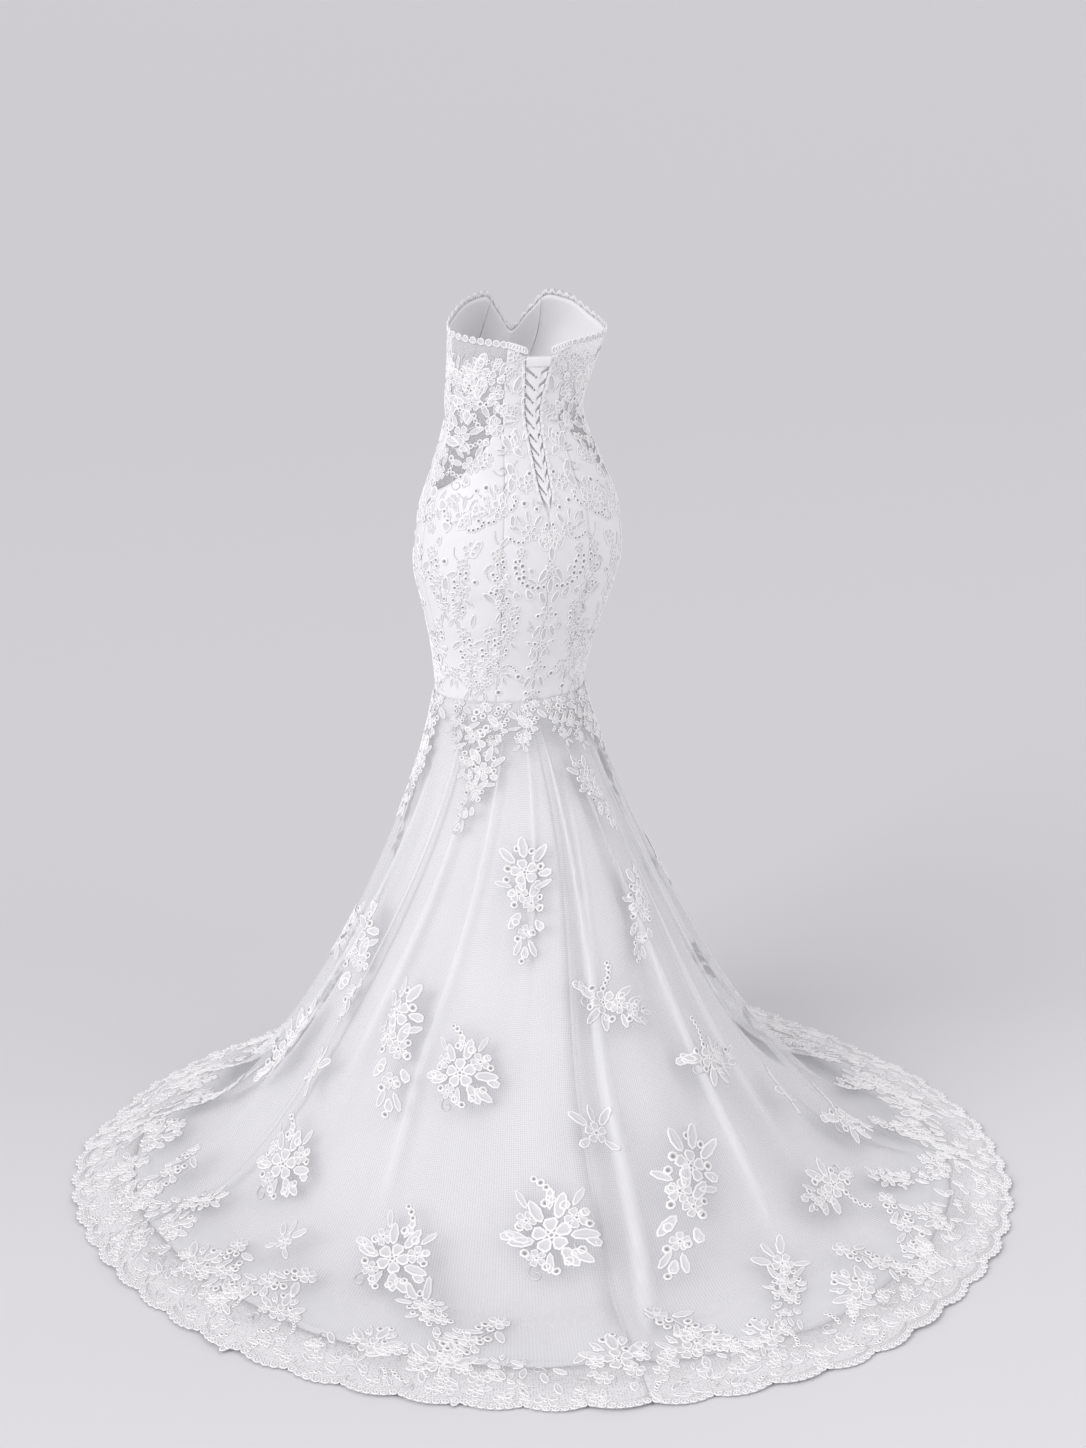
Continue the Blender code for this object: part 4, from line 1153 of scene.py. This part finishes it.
# Motifs that grow out of the band's upper edge, one for each group of scallops.
crest = group(
    (flower, 0, 6, 0, 0.95), (leaf, -13, 10, 50, 0.95), (leaf, 13, 10, -48, 0.95), (leaf, 2, 20, -4, 1.0),
    (slim_leaf, -8, 22, 30, 0.9), (bud, 10, 26, -28, 0.9), (scroll, -20, -2, 62, 0.8),
    (scroll, 20, -2, -62, -0.8), (ring, -14, 28, 0, 0.9), (ring, 13, 20, 0, 0.9), (ring, -4, 40, 0, 1.0),
    (ring, 8, 46, 0, 0.8), (small_flower, -24, 6, 0, 0.9), (small_flower, 24, 6, 0, 0.9),
)
BAND_MOTIFS = (
    (flower, 0.95), (small_flower, 1.1), (leaf, 1.05), (scroll, 0.85), (leaf_trio, 0.85), (bud, 1.1),
    (small_flower, 1.2), (dots, 0.8), (slim_leaf, 1.15), (scroll, -0.8), (sprig, 0.8), (leaf, -0.95),
)


def hem_places():
    """The edging of every scallop, and the motifs of the band above it."""
    middles = np.arange(SCALLOP_TURN / 2, 360, SCALLOP_TURN)
    ends = hem_net(middles + SCALLOP_TURN / 2, np.zeros(80)) - hem_net(middles - SCALLOP_TURN / 2, np.zeros(80))
    rows = [
        (edging(wide), middle, 0.0, 0, 1)
        for middle, wide in zip(middles, np.linalg.norm(ends, axis=-1))
    ]
    taken = []
    reach = np.linalg.norm(hem_net(np.arange(361.0), np.zeros(361))[:, :2], axis=-1)
    step = 2
    for i in range(0, 80, step):
        middle = SCALLOP_TURN * (i + random.uniform(0.3, 1.7))
        out = float(np.interp(middle, np.arange(361.0), reach))
        if out < 0.55 and i % 4:
            continue
        up = random.uniform(0.070, 0.112)
        size = random.uniform(1.0, 1.5) if out > 0.7 else 0.85
        rows.append((crest, middle, up, random.uniform(-22, 22), size))
        for x, y in ((0, 0.006), (-0.016, 0.010), (0.016, 0.010), (0, 0.030)):
            taken.append((middle + math.degrees(x * size / out), up + y * size, out))
    for _ in range(7500):
        middle = random.uniform(0, 360)
        out = float(np.interp(middle, np.arange(361.0), reach))
        up = random.uniform(0.008, 0.100)
        apart = 0.0182 if up < 0.075 else 0.026
        near = min((math.hypot(math.radians((middle - a + 180) % 360 - 180) * out, up - b)
                    for a, b, _ in taken[-900:] if abs((middle - a + 180) % 360 - 180) < 6), default=1)
        if near < apart:
            continue
        taken.append((middle, up, out))
        motif, scale = BAND_MOTIFS[int(random.integers(len(BAND_MOTIFS)))]
        turn = random.uniform(-75, 75) if up > 0.05 else random.uniform(0, 360)
        rows.append((motif, middle, up, turn, scale * random.uniform(0.85, 1.15)))
    return rows


# The border's ground is a dense net worked all over with fine dots: dull white, with small holes every
# 4 mm, drawn larger than the real 1.5 mm ones, whose grey is painted shade seen through them.
border_net, tree, shader = finish_named("dense worked net")
chart = add_node(tree, "UVMap", uv_map="cloth")
dots_in_net = add_node(tree, "TexVoronoi", {"Vector": chart.outputs["UV"], "Scale": 230.0, "Randomness": 0.35})
ramp = add_node(tree, "ValToRGB", {"Fac": dots_in_net.outputs["Distance"]})
ramp.color_ramp.elements[0].position = 0.14
ramp.color_ramp.elements[0].color = linear("#CCC9C9")
ramp.color_ramp.elements[1].position = 0.40
ramp.color_ramp.elements[1].color = linear("#F2F1F3")
worked = add_node(tree, "Bump", {
    "Height": dots_in_net.outputs["Distance"], "Strength": 0.5, "Distance": 0.0008,
})
tree.links.new(ramp.outputs["Color"], shader.inputs["Base Color"])
tree.links.new(worked.outputs["Normal"], shader.inputs["Normal"])
doubled = add_node(tree, "Attribute", attribute_name="doubled")
cover = add_node(tree, "MapRange", {0: doubled.outputs["Fac"], 3: 0.70, 4: 0.93})
tree.links.new(cover.outputs["Result"], shader.inputs["Alpha"])
shader.inputs["Roughness"].default_value = 0.6
shader.inputs["Specular IOR Level"].default_value = 0.3

all_hem_lace = hem_places()
for (name, width, length, area), (gore, first, last, _, _) in zip(BORDERS, GORES):
    columns = round((last - first) / 0.45)
    angle = gore_angles(first, last, columns)
    steps = np.array([0.0, 0.10, 0.25, 0.4, 0.55, 0.7, 0.85, 1.0])
    width_in = HEM_BORDER * (1 - 0.0045)
    angles = np.broadcast_to(angle, (len(steps), columns + 1))
    inward = -scallop_reach(angle) + steps[:, None] * (width_in + scallop_reach(angle))
    grid = hem_net(angles, inward)
    thins_at = 0.42 + 0.16 * np.sin(np.radians(angles * 17)) * np.cos(np.radians(angles * 7))
    doubled = 1 - eased((steps[:, None] - thins_at) / 0.45)
    border = cloth(f"hem_lace_{gore}_net", grid, BORDER_THICK, border_net, in_metres(grid), doubled)
    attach(border, "root")
    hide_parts(f"hem_lace_{gore}")
    rows = [row for row in all_hem_lace if (row[1] - first) % 360 < last - first]
    lace_piece(f"hem_motifs_{gore}", laid(rows, hem_net, plain_hem), lace_thread)

# Lace sprays on the net skirt
# Single sprays of the corded lace are scattered over the tulle, larger and closer toward the hem,
# and short drips of lace hang over the knee seam onto it.
def cluster(closer, *rows):
    """A group whose motifs are moved toward its origin, so that their edges overlap."""
    return group(*((motif, x * closer, y * closer, turn, scale) for motif, x, y, turn, scale in rows))


long_spray = cluster(
    0.90, (ring, -22, 66, 0, 1.0), (ring, 22, 70, 0, 1.0), (ring, -9, 96, 0, 0.9), (ring, 11, 92, 0, 0.9),
    (ring, -24, 50, 0, 0.9), (ring, -18, 30, 0, 1.0), (ring, 20, 10, 0, 1.0), (leaf, -2, 34, 10, 0.9),
    (ring, -12, -10, 0, 1.0), (ring, 10, -26, 0, 0.9), (ring, -9, -34, 0, 0.9), (leaf, 8, 24, -24, 0.9),
    (flower, 0, 62, 12, 1.0), (leaf, -12, 74, 42, 0.95), (leaf, 12, 76, -38, 0.95),
    (leaf, 0, 82, 4, 1.0), (bud, 17, 60, -96, 0.95), (small_flower, -8, 30, 0, 1.1),
    (small_flower, 9, 16, 30, 1.0), (slim_leaf, -16, 40, 76, 1.0), (slim_leaf, 12, 38, -70, 1.0),
    (leaf, -6, 4, 150, 0.9), (bud, 14, -6, -150, 0.95), (small_flower, 2, -24, 10, 0.9),
    (slim_leaf, -4, -34, 160, 1.0), (slim_leaf, 6, -36, -158, 1.0), (ring, -14, 14, 0, 0.9),
    (ring, 20, 26, 0, 0.8), (ring, -3, -66, 0, 0.8), (bud, 1, -44, 180, 0.9), (tendril, -6, 48, 20, 0.8),
)
round_spray = cluster(
    0.92, (ring, 16, 33, 0, 1.1), (ring, -4, 40, 0, 1.0), (ring, 36, 22, 0, 1.0), (ring, -34, 12, 0, 1.0),
    (ring, -30, -20, 0, 1.0), (ring, -8, -38, 0, 1.0), (ring, 16, -36, 0, 1.1), (ring, 30, -24, 0, 1.0),
    (leaf, 18, -22, -128, 0.95), (slim_leaf, 0, 30, -4, 1.1), (leaf, -24, -6, 66, 0.9),
    (flower, 0, 0, 0, 1.15), (small_flower, 27, 16, 20, 1.1), (small_flower, -26, 20, 50, 1.0),
    (small_flower, -18, -26, 10, 0.95), (leaf, 8, 18, -14, 1.0), (leaf, -9, 17, 24, 0.95),
    (leaf, 19, -4, -92, 1.0), (leaf, -18, -4, 98, 0.95), (leaf, 10, -17, -150, 1.0),
    (slim_leaf, -3, -20, 176, 1.1), (bud, 34, -10, -112, 0.95), (bud, -38, 2, 100, 0.9),
    (slim_leaf, 24, 30, -30, 1.0), (slim_leaf, -24, 34, 26, 1.0), (scroll, 22, -16, -160, 0.8),
    (scroll, -24, -34, 150, -0.75), (dots, 4, 42, 12, 0.9), (ring, 40, 8, 0, 0.9), (ring, 2, -46, 0, 0.9),
)
side_spray = cluster(
    0.90, (ring, 14, 24, 0, 1.0), (ring, 40, 34, 0, 1.0), (ring, 56, 38, 0, 0.9), (ring, 30, -8, 0, 1.0),
    (ring, 50, 8, 0, 1.0), (ring, -28, 0, 0, 1.0), (ring, -8, -20, 0, 1.0), (leaf, 4, -12, -170, 0.9),
    (slim_leaf, 44, 14, -80, 1.0),
    (flower, 0, 0, 0, 1.0), (small_flower, 22, 12, 20, 1.1), (small_flower, 44, 22, 40, 0.95),
    (leaf, -14, -6, 104, 1.0), (leaf, 10, 15, -10, 0.95), (leaf, 30, 22, -24, 0.9),
    (leaf, 12, -10, -120, 0.95), (slim_leaf, 34, 6, -110, 1.0), (slim_leaf, 54, 30, -46, 1.0),
    (slim_leaf, -24, -12, 80, 1.0), (bud, -34, -14, 100, 0.95), (bud, 60, 22, -74, 0.9),
    (scroll, -6, -14, 160, 0.8), (ring, 22, -12, 0, 0.9), (ring, -16, 14, 0, 0.9), (dots, -20, 22, 24, 0.8),
)
small_spray = group(
    (small_flower, 0, 0, 0, 1.2), (leaf, 7, 9, -40, 0.85), (leaf, -8, 8, 46, 0.85),
    (slim_leaf, 0, 11, 4, 1.0), (bud, -9, -7, 130, 0.9), (slim_leaf, 7, -8, -136, 0.95),
)
# Columns: motif, angle, share of the fall, turn in degrees and scale.
SPRAYS = (
    (long_spray, 169.0, 0.290, 4, 1.37), (long_spray, 141.0, 0.165, -12, 0.98),
    (long_spray, 203.0, 0.175, 14, 0.94), (long_spray, 200.0, 0.318, -24, 1.07),
    (side_spray, 186.0, 0.385, -56, 1.23), (long_spray, 120.5, 0.410, 30, 1.37),
    (long_spray, 148.0, 0.470, 16, 1.49), (round_spray, 161.5, 0.462, 10, 1.30),
    (side_spray, 107.0, 0.560, 60, 1.43), (side_spray, 204.5, 0.478, -40, 1.37),
    (round_spray, 174.5, 0.640, 0, 1.56), (long_spray, 189.5, 0.640, -28, 1.76),
    (side_spray, 231.0, 0.690, -64, 1.37), (side_spray, 214.0, 0.700, 150, 1.43),
    (small_spray, 198.5, 0.753, 10, 1.56), (round_spray, 134.5, 0.647, 24, 1.37),
    (round_spray, 157.0, 0.700, -14, 1.49), (small_spray, 143.5, 0.748, 0, 1.43),
    (long_spray, 88.5, 0.170, -6, 0.98), (side_spray, 84.0, 0.420, 40, 1.23),
    (round_spray, 66.0, 0.560, 0, 1.10), (long_spray, 60.0, 0.250, 8, 1.10),
    (long_spray, 34.0, 0.400, -8, 1.17), (round_spray, 12.0, 0.560, 12, 1.04),
    (long_spray, 8.0, 0.230, 6, 1.04), (side_spray, 345.0, 0.440, -40, 1.10),
    (long_spray, 328.0, 0.270, -10, 1.10), (round_spray, 318.0, 0.580, 20, 1.10),
    (long_spray, 296.0, 0.400, 12, 1.17), (side_spray, 281.0, 0.600, -60, 1.23),
    (long_spray, 272.0, 0.200, 0, 1.04), (round_spray, 259.0, 0.480, 16, 1.23),
    (side_spray, 246.0, 0.300, -44, 1.10), (small_spray, 239.0, 0.520, 0, 1.56),
    (small_spray, 96.0, 0.690, 0, 1.43), (small_spray, 41.0, 0.640, 20, 1.23),
    (small_spray, 300.0, 0.680, -14, 1.23), (small_spray, 222.0, 0.580, 14, 1.56),
    (small_spray, 181.5, 0.520, 4, 1.43), (small_spray, 128.0, 0.530, -8, 1.49),
)
# Garlands over the knee seam. Columns: degrees from the centre front, share of the fall, turn, scale.
DRIPS = (
    (181, 0.000, -22, 1.05), (170, 0.012, -4, 0.6), (193, 0.008, 8, 0.7), (206, 0.000, 8, 1.15),
    (155, 0.000, -10, 1.0), (221, 0.006, 14, 0.7), (138, 0.002, -6, 1.25), (117, 0.000, 8, 0.85),
    (96, 0.000, -8, 1.2), (236, 0.000, 6, 1.15), (258, 0.004, -8, 0.85), (279, 0.000, 8, 1.15),
    (302, 0.004, -8, 0.8), (327, 0.000, 6, 1.05), (351, 0.004, -8, 0.8), (14, 0.000, 6, 1.05),
    (37, 0.004, 8, 0.8), (61, 0.000, -6, 1.0), (79, 0.004, 6, 0.7),
)
# Tongues of lace that run from the border up into the net. Columns as above.
TONGUES = (
    (garland, 104, 0.790, -30, 1.35), (garland, 115, 0.760, 36, 1.30), (long_spray, 125, 0.835, -38, 1.05),
    (garland, 138, 0.800, 34, 1.50), (garland, 149, 0.790, -40, 1.50), (long_spray, 164, 0.840, 36, 1.10),
    (garland, 169, 0.805, -34, 1.40), (garland, 183, 0.800, 38, 1.50), (long_spray, 195, 0.845, -34, 1.10),
    (garland, 205, 0.800, 30, 1.50), (garland, 218, 0.790, -38, 1.45), (long_spray, 226, 0.830, 40, 1.05),
    (garland, 240, 0.780, -30, 1.35), (garland, 251, 0.760, 34, 1.25), (garland, 92, 0.695, 30, 1.15),
    (garland, 78, 0.640, -32, 1.05), (garland, 53, 0.545, 28, 1.0), (garland, 30, 0.490, -26, 0.95),
    (garland, 0, 0.480, 28, 0.9), (garland, 334, 0.490, -26, 0.95), (garland, 306, 0.545, 26, 1.0),
    (garland, 291, 0.625, -30, 1.05), (garland, 268, 0.695, 30, 1.10),
)


def rising_net(angle, share):
    """The net skirt with its second place turned round, so that it grows upward."""
    return net_skirt(angle, np.clip(1 - share, 0, None))


def plain_rising(angle, share):
    return plain_net(angle, np.clip(1 - share, 0, None))


sprays = [(motif, angle, 1 - share, turn, scale) for motif, angle, share, turn, scale in SPRAYS + TONGUES]
sprays += [(garland, angle, 1 - share, turn, scale) for angle, share, turn, scale in DRIPS]
for half, first, last in (("left", 0, 180), ("right", 180, 360)):
    rows = [row for row in sprays if first <= row[1] % 360 < last]
    lace_piece(f"net_sprays_{half}", laid(rows, rising_net, plain_rising, 0.0003), lace_thread)

# Lace edge of the bodice
# A narrow edging of small lobes stands on the top edge all round, in three lengths between the
# princess seams and the lacing.
NOTCH, LOBE_RISE = 0.004, 0.007
TRIM_THICK = 0.0012
# Columns: node, first and last angle, lobes for each run of panels, flat width and area.
TOP_LACES = (
    ("top_lace_front", ((265, 336, 11), (336, 384, 8), (384, 455, 11)), 0.455, 0.0042),
    ("top_lace_left", ((95, 147, 8), (147, 180, 6)), 0.190, 0.0018),
    ("top_lace_right", ((180, 213, 6), (213, 265, 8)), 0.190, 0.0018),
)


def above_edge(angle, up):
    """Points that go on upward from the bodice's top edge."""
    height = curve(EDGES, TOP_EDGE, from_front(angle))
    return body(angle, height) + np.stack([np.zeros_like(up), np.zeros_like(up), up + SEAM_GAP], -1)


for name, runs, width, area in TOP_LACES:
    places, phases, lobes = [], [], []
    for first, last, count in runs:
        half = math.degrees(float(curve(OPENING, 1, 1.316)) / float(curve(SECTIONS, BACK, 1.316)))
        start, end = first + (half if first == 180 else 0), last - (half if last == 180 else 0)
        share = np.linspace(0, 1, count * 6 + 1)[0 if not places else 1:]
        places += list(start + (end - start) * share)
        phases += list(share * count % 1)
        lobes += [(lobe, start + (end - start) * (i + 0.5) / count, 0.0048, 0, 0.95) for i in range(count)]
    rise = NOTCH + LOBE_RISE * np.abs(np.sin(np.pi * np.array(phases))) ** 0.7
    ups = np.array([0.0, 0.5, 1.0])[:, None] * rise
    grid = above_edge(np.broadcast_to(places, ups.shape), ups)
    trim = cloth(name + "_net", grid, TRIM_THICK, border_net, in_metres(grid), np.ones(ups.shape))
    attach(trim, "root")
    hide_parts(name)
    lace_piece(name + "_lobes", laid(lobes, above_edge, above_edge), lace_thread)

# Modesty panel
# A narrow panel of the same satin is sewn behind the laced opening and shows pale between its edges.
MODESTY_ROWS = (1.0528, 1.316)
MODESTY_BACK = 0.0024
MODESTY_LAP = 4.9            # degrees that it reaches behind each panel

height, share = np.meshgrid(np.linspace(*MODESTY_ROWS, 31), np.linspace(-1, 1, 13), indexing="ij")
half = np.degrees(curve(OPENING, 1, height) / curve(SECTIONS, BACK, height)) + MODESTY_LAP
angle = 180 + half * share
grid = body(angle, height) - normals(body, angle, height) * MODESTY_BACK
modesty = cloth("modesty_panel_satin", grid, 0.0012, satin, in_metres(grid))
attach(modesty, "root")
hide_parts("modesty_panel")

# Laced ribbon
# One flat satin ribbon is laced down the centre back. At each crossing the strand from the wearer's
# left lies over the other one, and both narrow where they pass through the loops at the edges.
LACING_FOOT, LACING_TOP, CROSSINGS = 1.070, 1.312, 11
RIBBON_FALL = 0.0150         # how far a strand drops from the edge of the opening to its middle
RIBBON_WIDE = 0.0172
RIBBON_THICK = 0.0004
OVER, UNDER_STRAND = 0.0013, 0.0003

# Double-faced satin ribbon: smooth, with a clear soft highlight and a faint grain across its weave.
ribbon_satin, tree, shader = finish_named("double-faced satin ribbon")
place = add_node(tree, "TexCoord")
weave = add_node(tree, "TexWave", {
    "Vector": place.outputs["Object"], "Scale": 420.0, "Distortion": 0.6,
}, bands_direction="X")
relief = add_node(tree, "Bump", {"Height": weave.outputs["Fac"], "Strength": 0.2, "Distance": 0.0002})
tree.links.new(relief.outputs["Normal"], shader.inputs["Normal"])
shader.inputs["Base Color"].default_value = linear("#F7F6F7")
shader.inputs["Roughness"].default_value = 0.30
shader.inputs["Specular IOR Level"].default_value = 0.5


def strand(start, end, low, fall_down, relief, narrow):
    """Points of one strand across the opening. start and end are shares of its half-width."""
    share, up = np.meshgrid(np.linspace(start, end, 15), np.linspace(-0.5, 0.5, 7))
    wide = RIBBON_WIDE * (1 - narrow * np.clip(np.abs(share), 0, 1) ** 4)
    height = low + fall_down * (share if start > end else -share) + up * wide
    half = curve(OPENING, 1, height) - 0.0006
    angle = 180 + np.degrees(half / curve(SECTIONS, BACK, height)) * share
    raised_by = relief + 0.0007 * (1 - (2 * up) ** 2) + 0.0005 * (0.5 - up)
    raised_by = raised_by + 0.0011 * np.clip(np.abs(share) - 0.8, 0, 0.2) / 0.2
    return body(angle, height) + normals(body, angle, height) * raised_by[..., None]


pitch = (LACING_TOP - LACING_FOOT - 0.008) / CROSSINGS
strands = []
for i in range(CROSSINGS):
    low = LACING_FOOT + pitch * (i + 0.42)
    strands.append(strand(1.0, -0.16, low, RIBBON_FALL, UNDER_STRAND, 0.34))
    strands.append(strand(-1.0, 0.42, low, RIBBON_FALL, OVER, 0.34))
strands.append(strand(-1.0, 1.0, LACING_TOP - 0.0050, 0.0, 0.0019, 0.0))
lengths = [np.linalg.norm(np.diff(grid[3], axis=0), axis=-1).sum() for grid in strands]
pieces = [
    cloth(f"strand_{i}", grid, RIBBON_THICK, ribbon_satin, in_metres(grid)) for i, grid in enumerate(strands)
]
bpy.ops.object.select_all(action="DESELECT")
for piece in pieces:
    piece.select_set(True)
bpy.context.view_layer.objects.active = pieces[0]
bpy.ops.object.join()
ribbon = bpy.context.object
ribbon.name = "lacing_ribbon_satin"
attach(ribbon, "root")
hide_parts("lacing_ribbon")

# Loop tapes
# A narrow tape is sewn along each edge of the opening and holds a row of small loops of cord.
TAPE_RISE, TAPE_THICK = 0.0016, 0.0009
loop = corded([
    (0.0058 * math.cos(math.radians(a)), 0.0052 * math.sin(math.radians(a))) for a in range(-100, 101, 25)
], 0.0019, 0.0020)
for side, name in ((-1, "loop_tape_left"), (1, "loop_tape_right")):
    height, share = np.meshgrid(np.linspace(1.076, 1.310, 40), np.array([0.0, 0.12, 0.5, 0.88, 1.0]), indexing="ij")
    reach = curve(SECTIONS, BACK, height)
    off = curve(OPENING, 1, height) + 0.0007 + 0.0052 * share
    angle = 180 + side * np.degrees(off / reach)
    lift = TAPE_RISE - 0.0005 * (2 * np.abs(share - 0.5)) ** 3
    grid = body(angle, height) + normals(body, angle, height) * lift[..., None]
    if side < 0:
        grid = grid[:, ::-1]
    tape = cloth(name + "_satin", grid, TAPE_THICK, ribbon_satin, in_metres(grid))
    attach(tape, "root")
    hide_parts(name)
    rows = []
    for i in range(CROSSINGS):
        height = LACING_FOOT + pitch * (i + 0.42) + RIBBON_FALL
        off = float(curve(OPENING, 1, height) / curve(SECTIONS, BACK, height))
        rows.append((loop, 180 + side * math.degrees(off), height, 90 - side * 90, 1))
    lace_piece(name + "_loops", laid(rows, body, body, 0.0017), ribbon_satin)
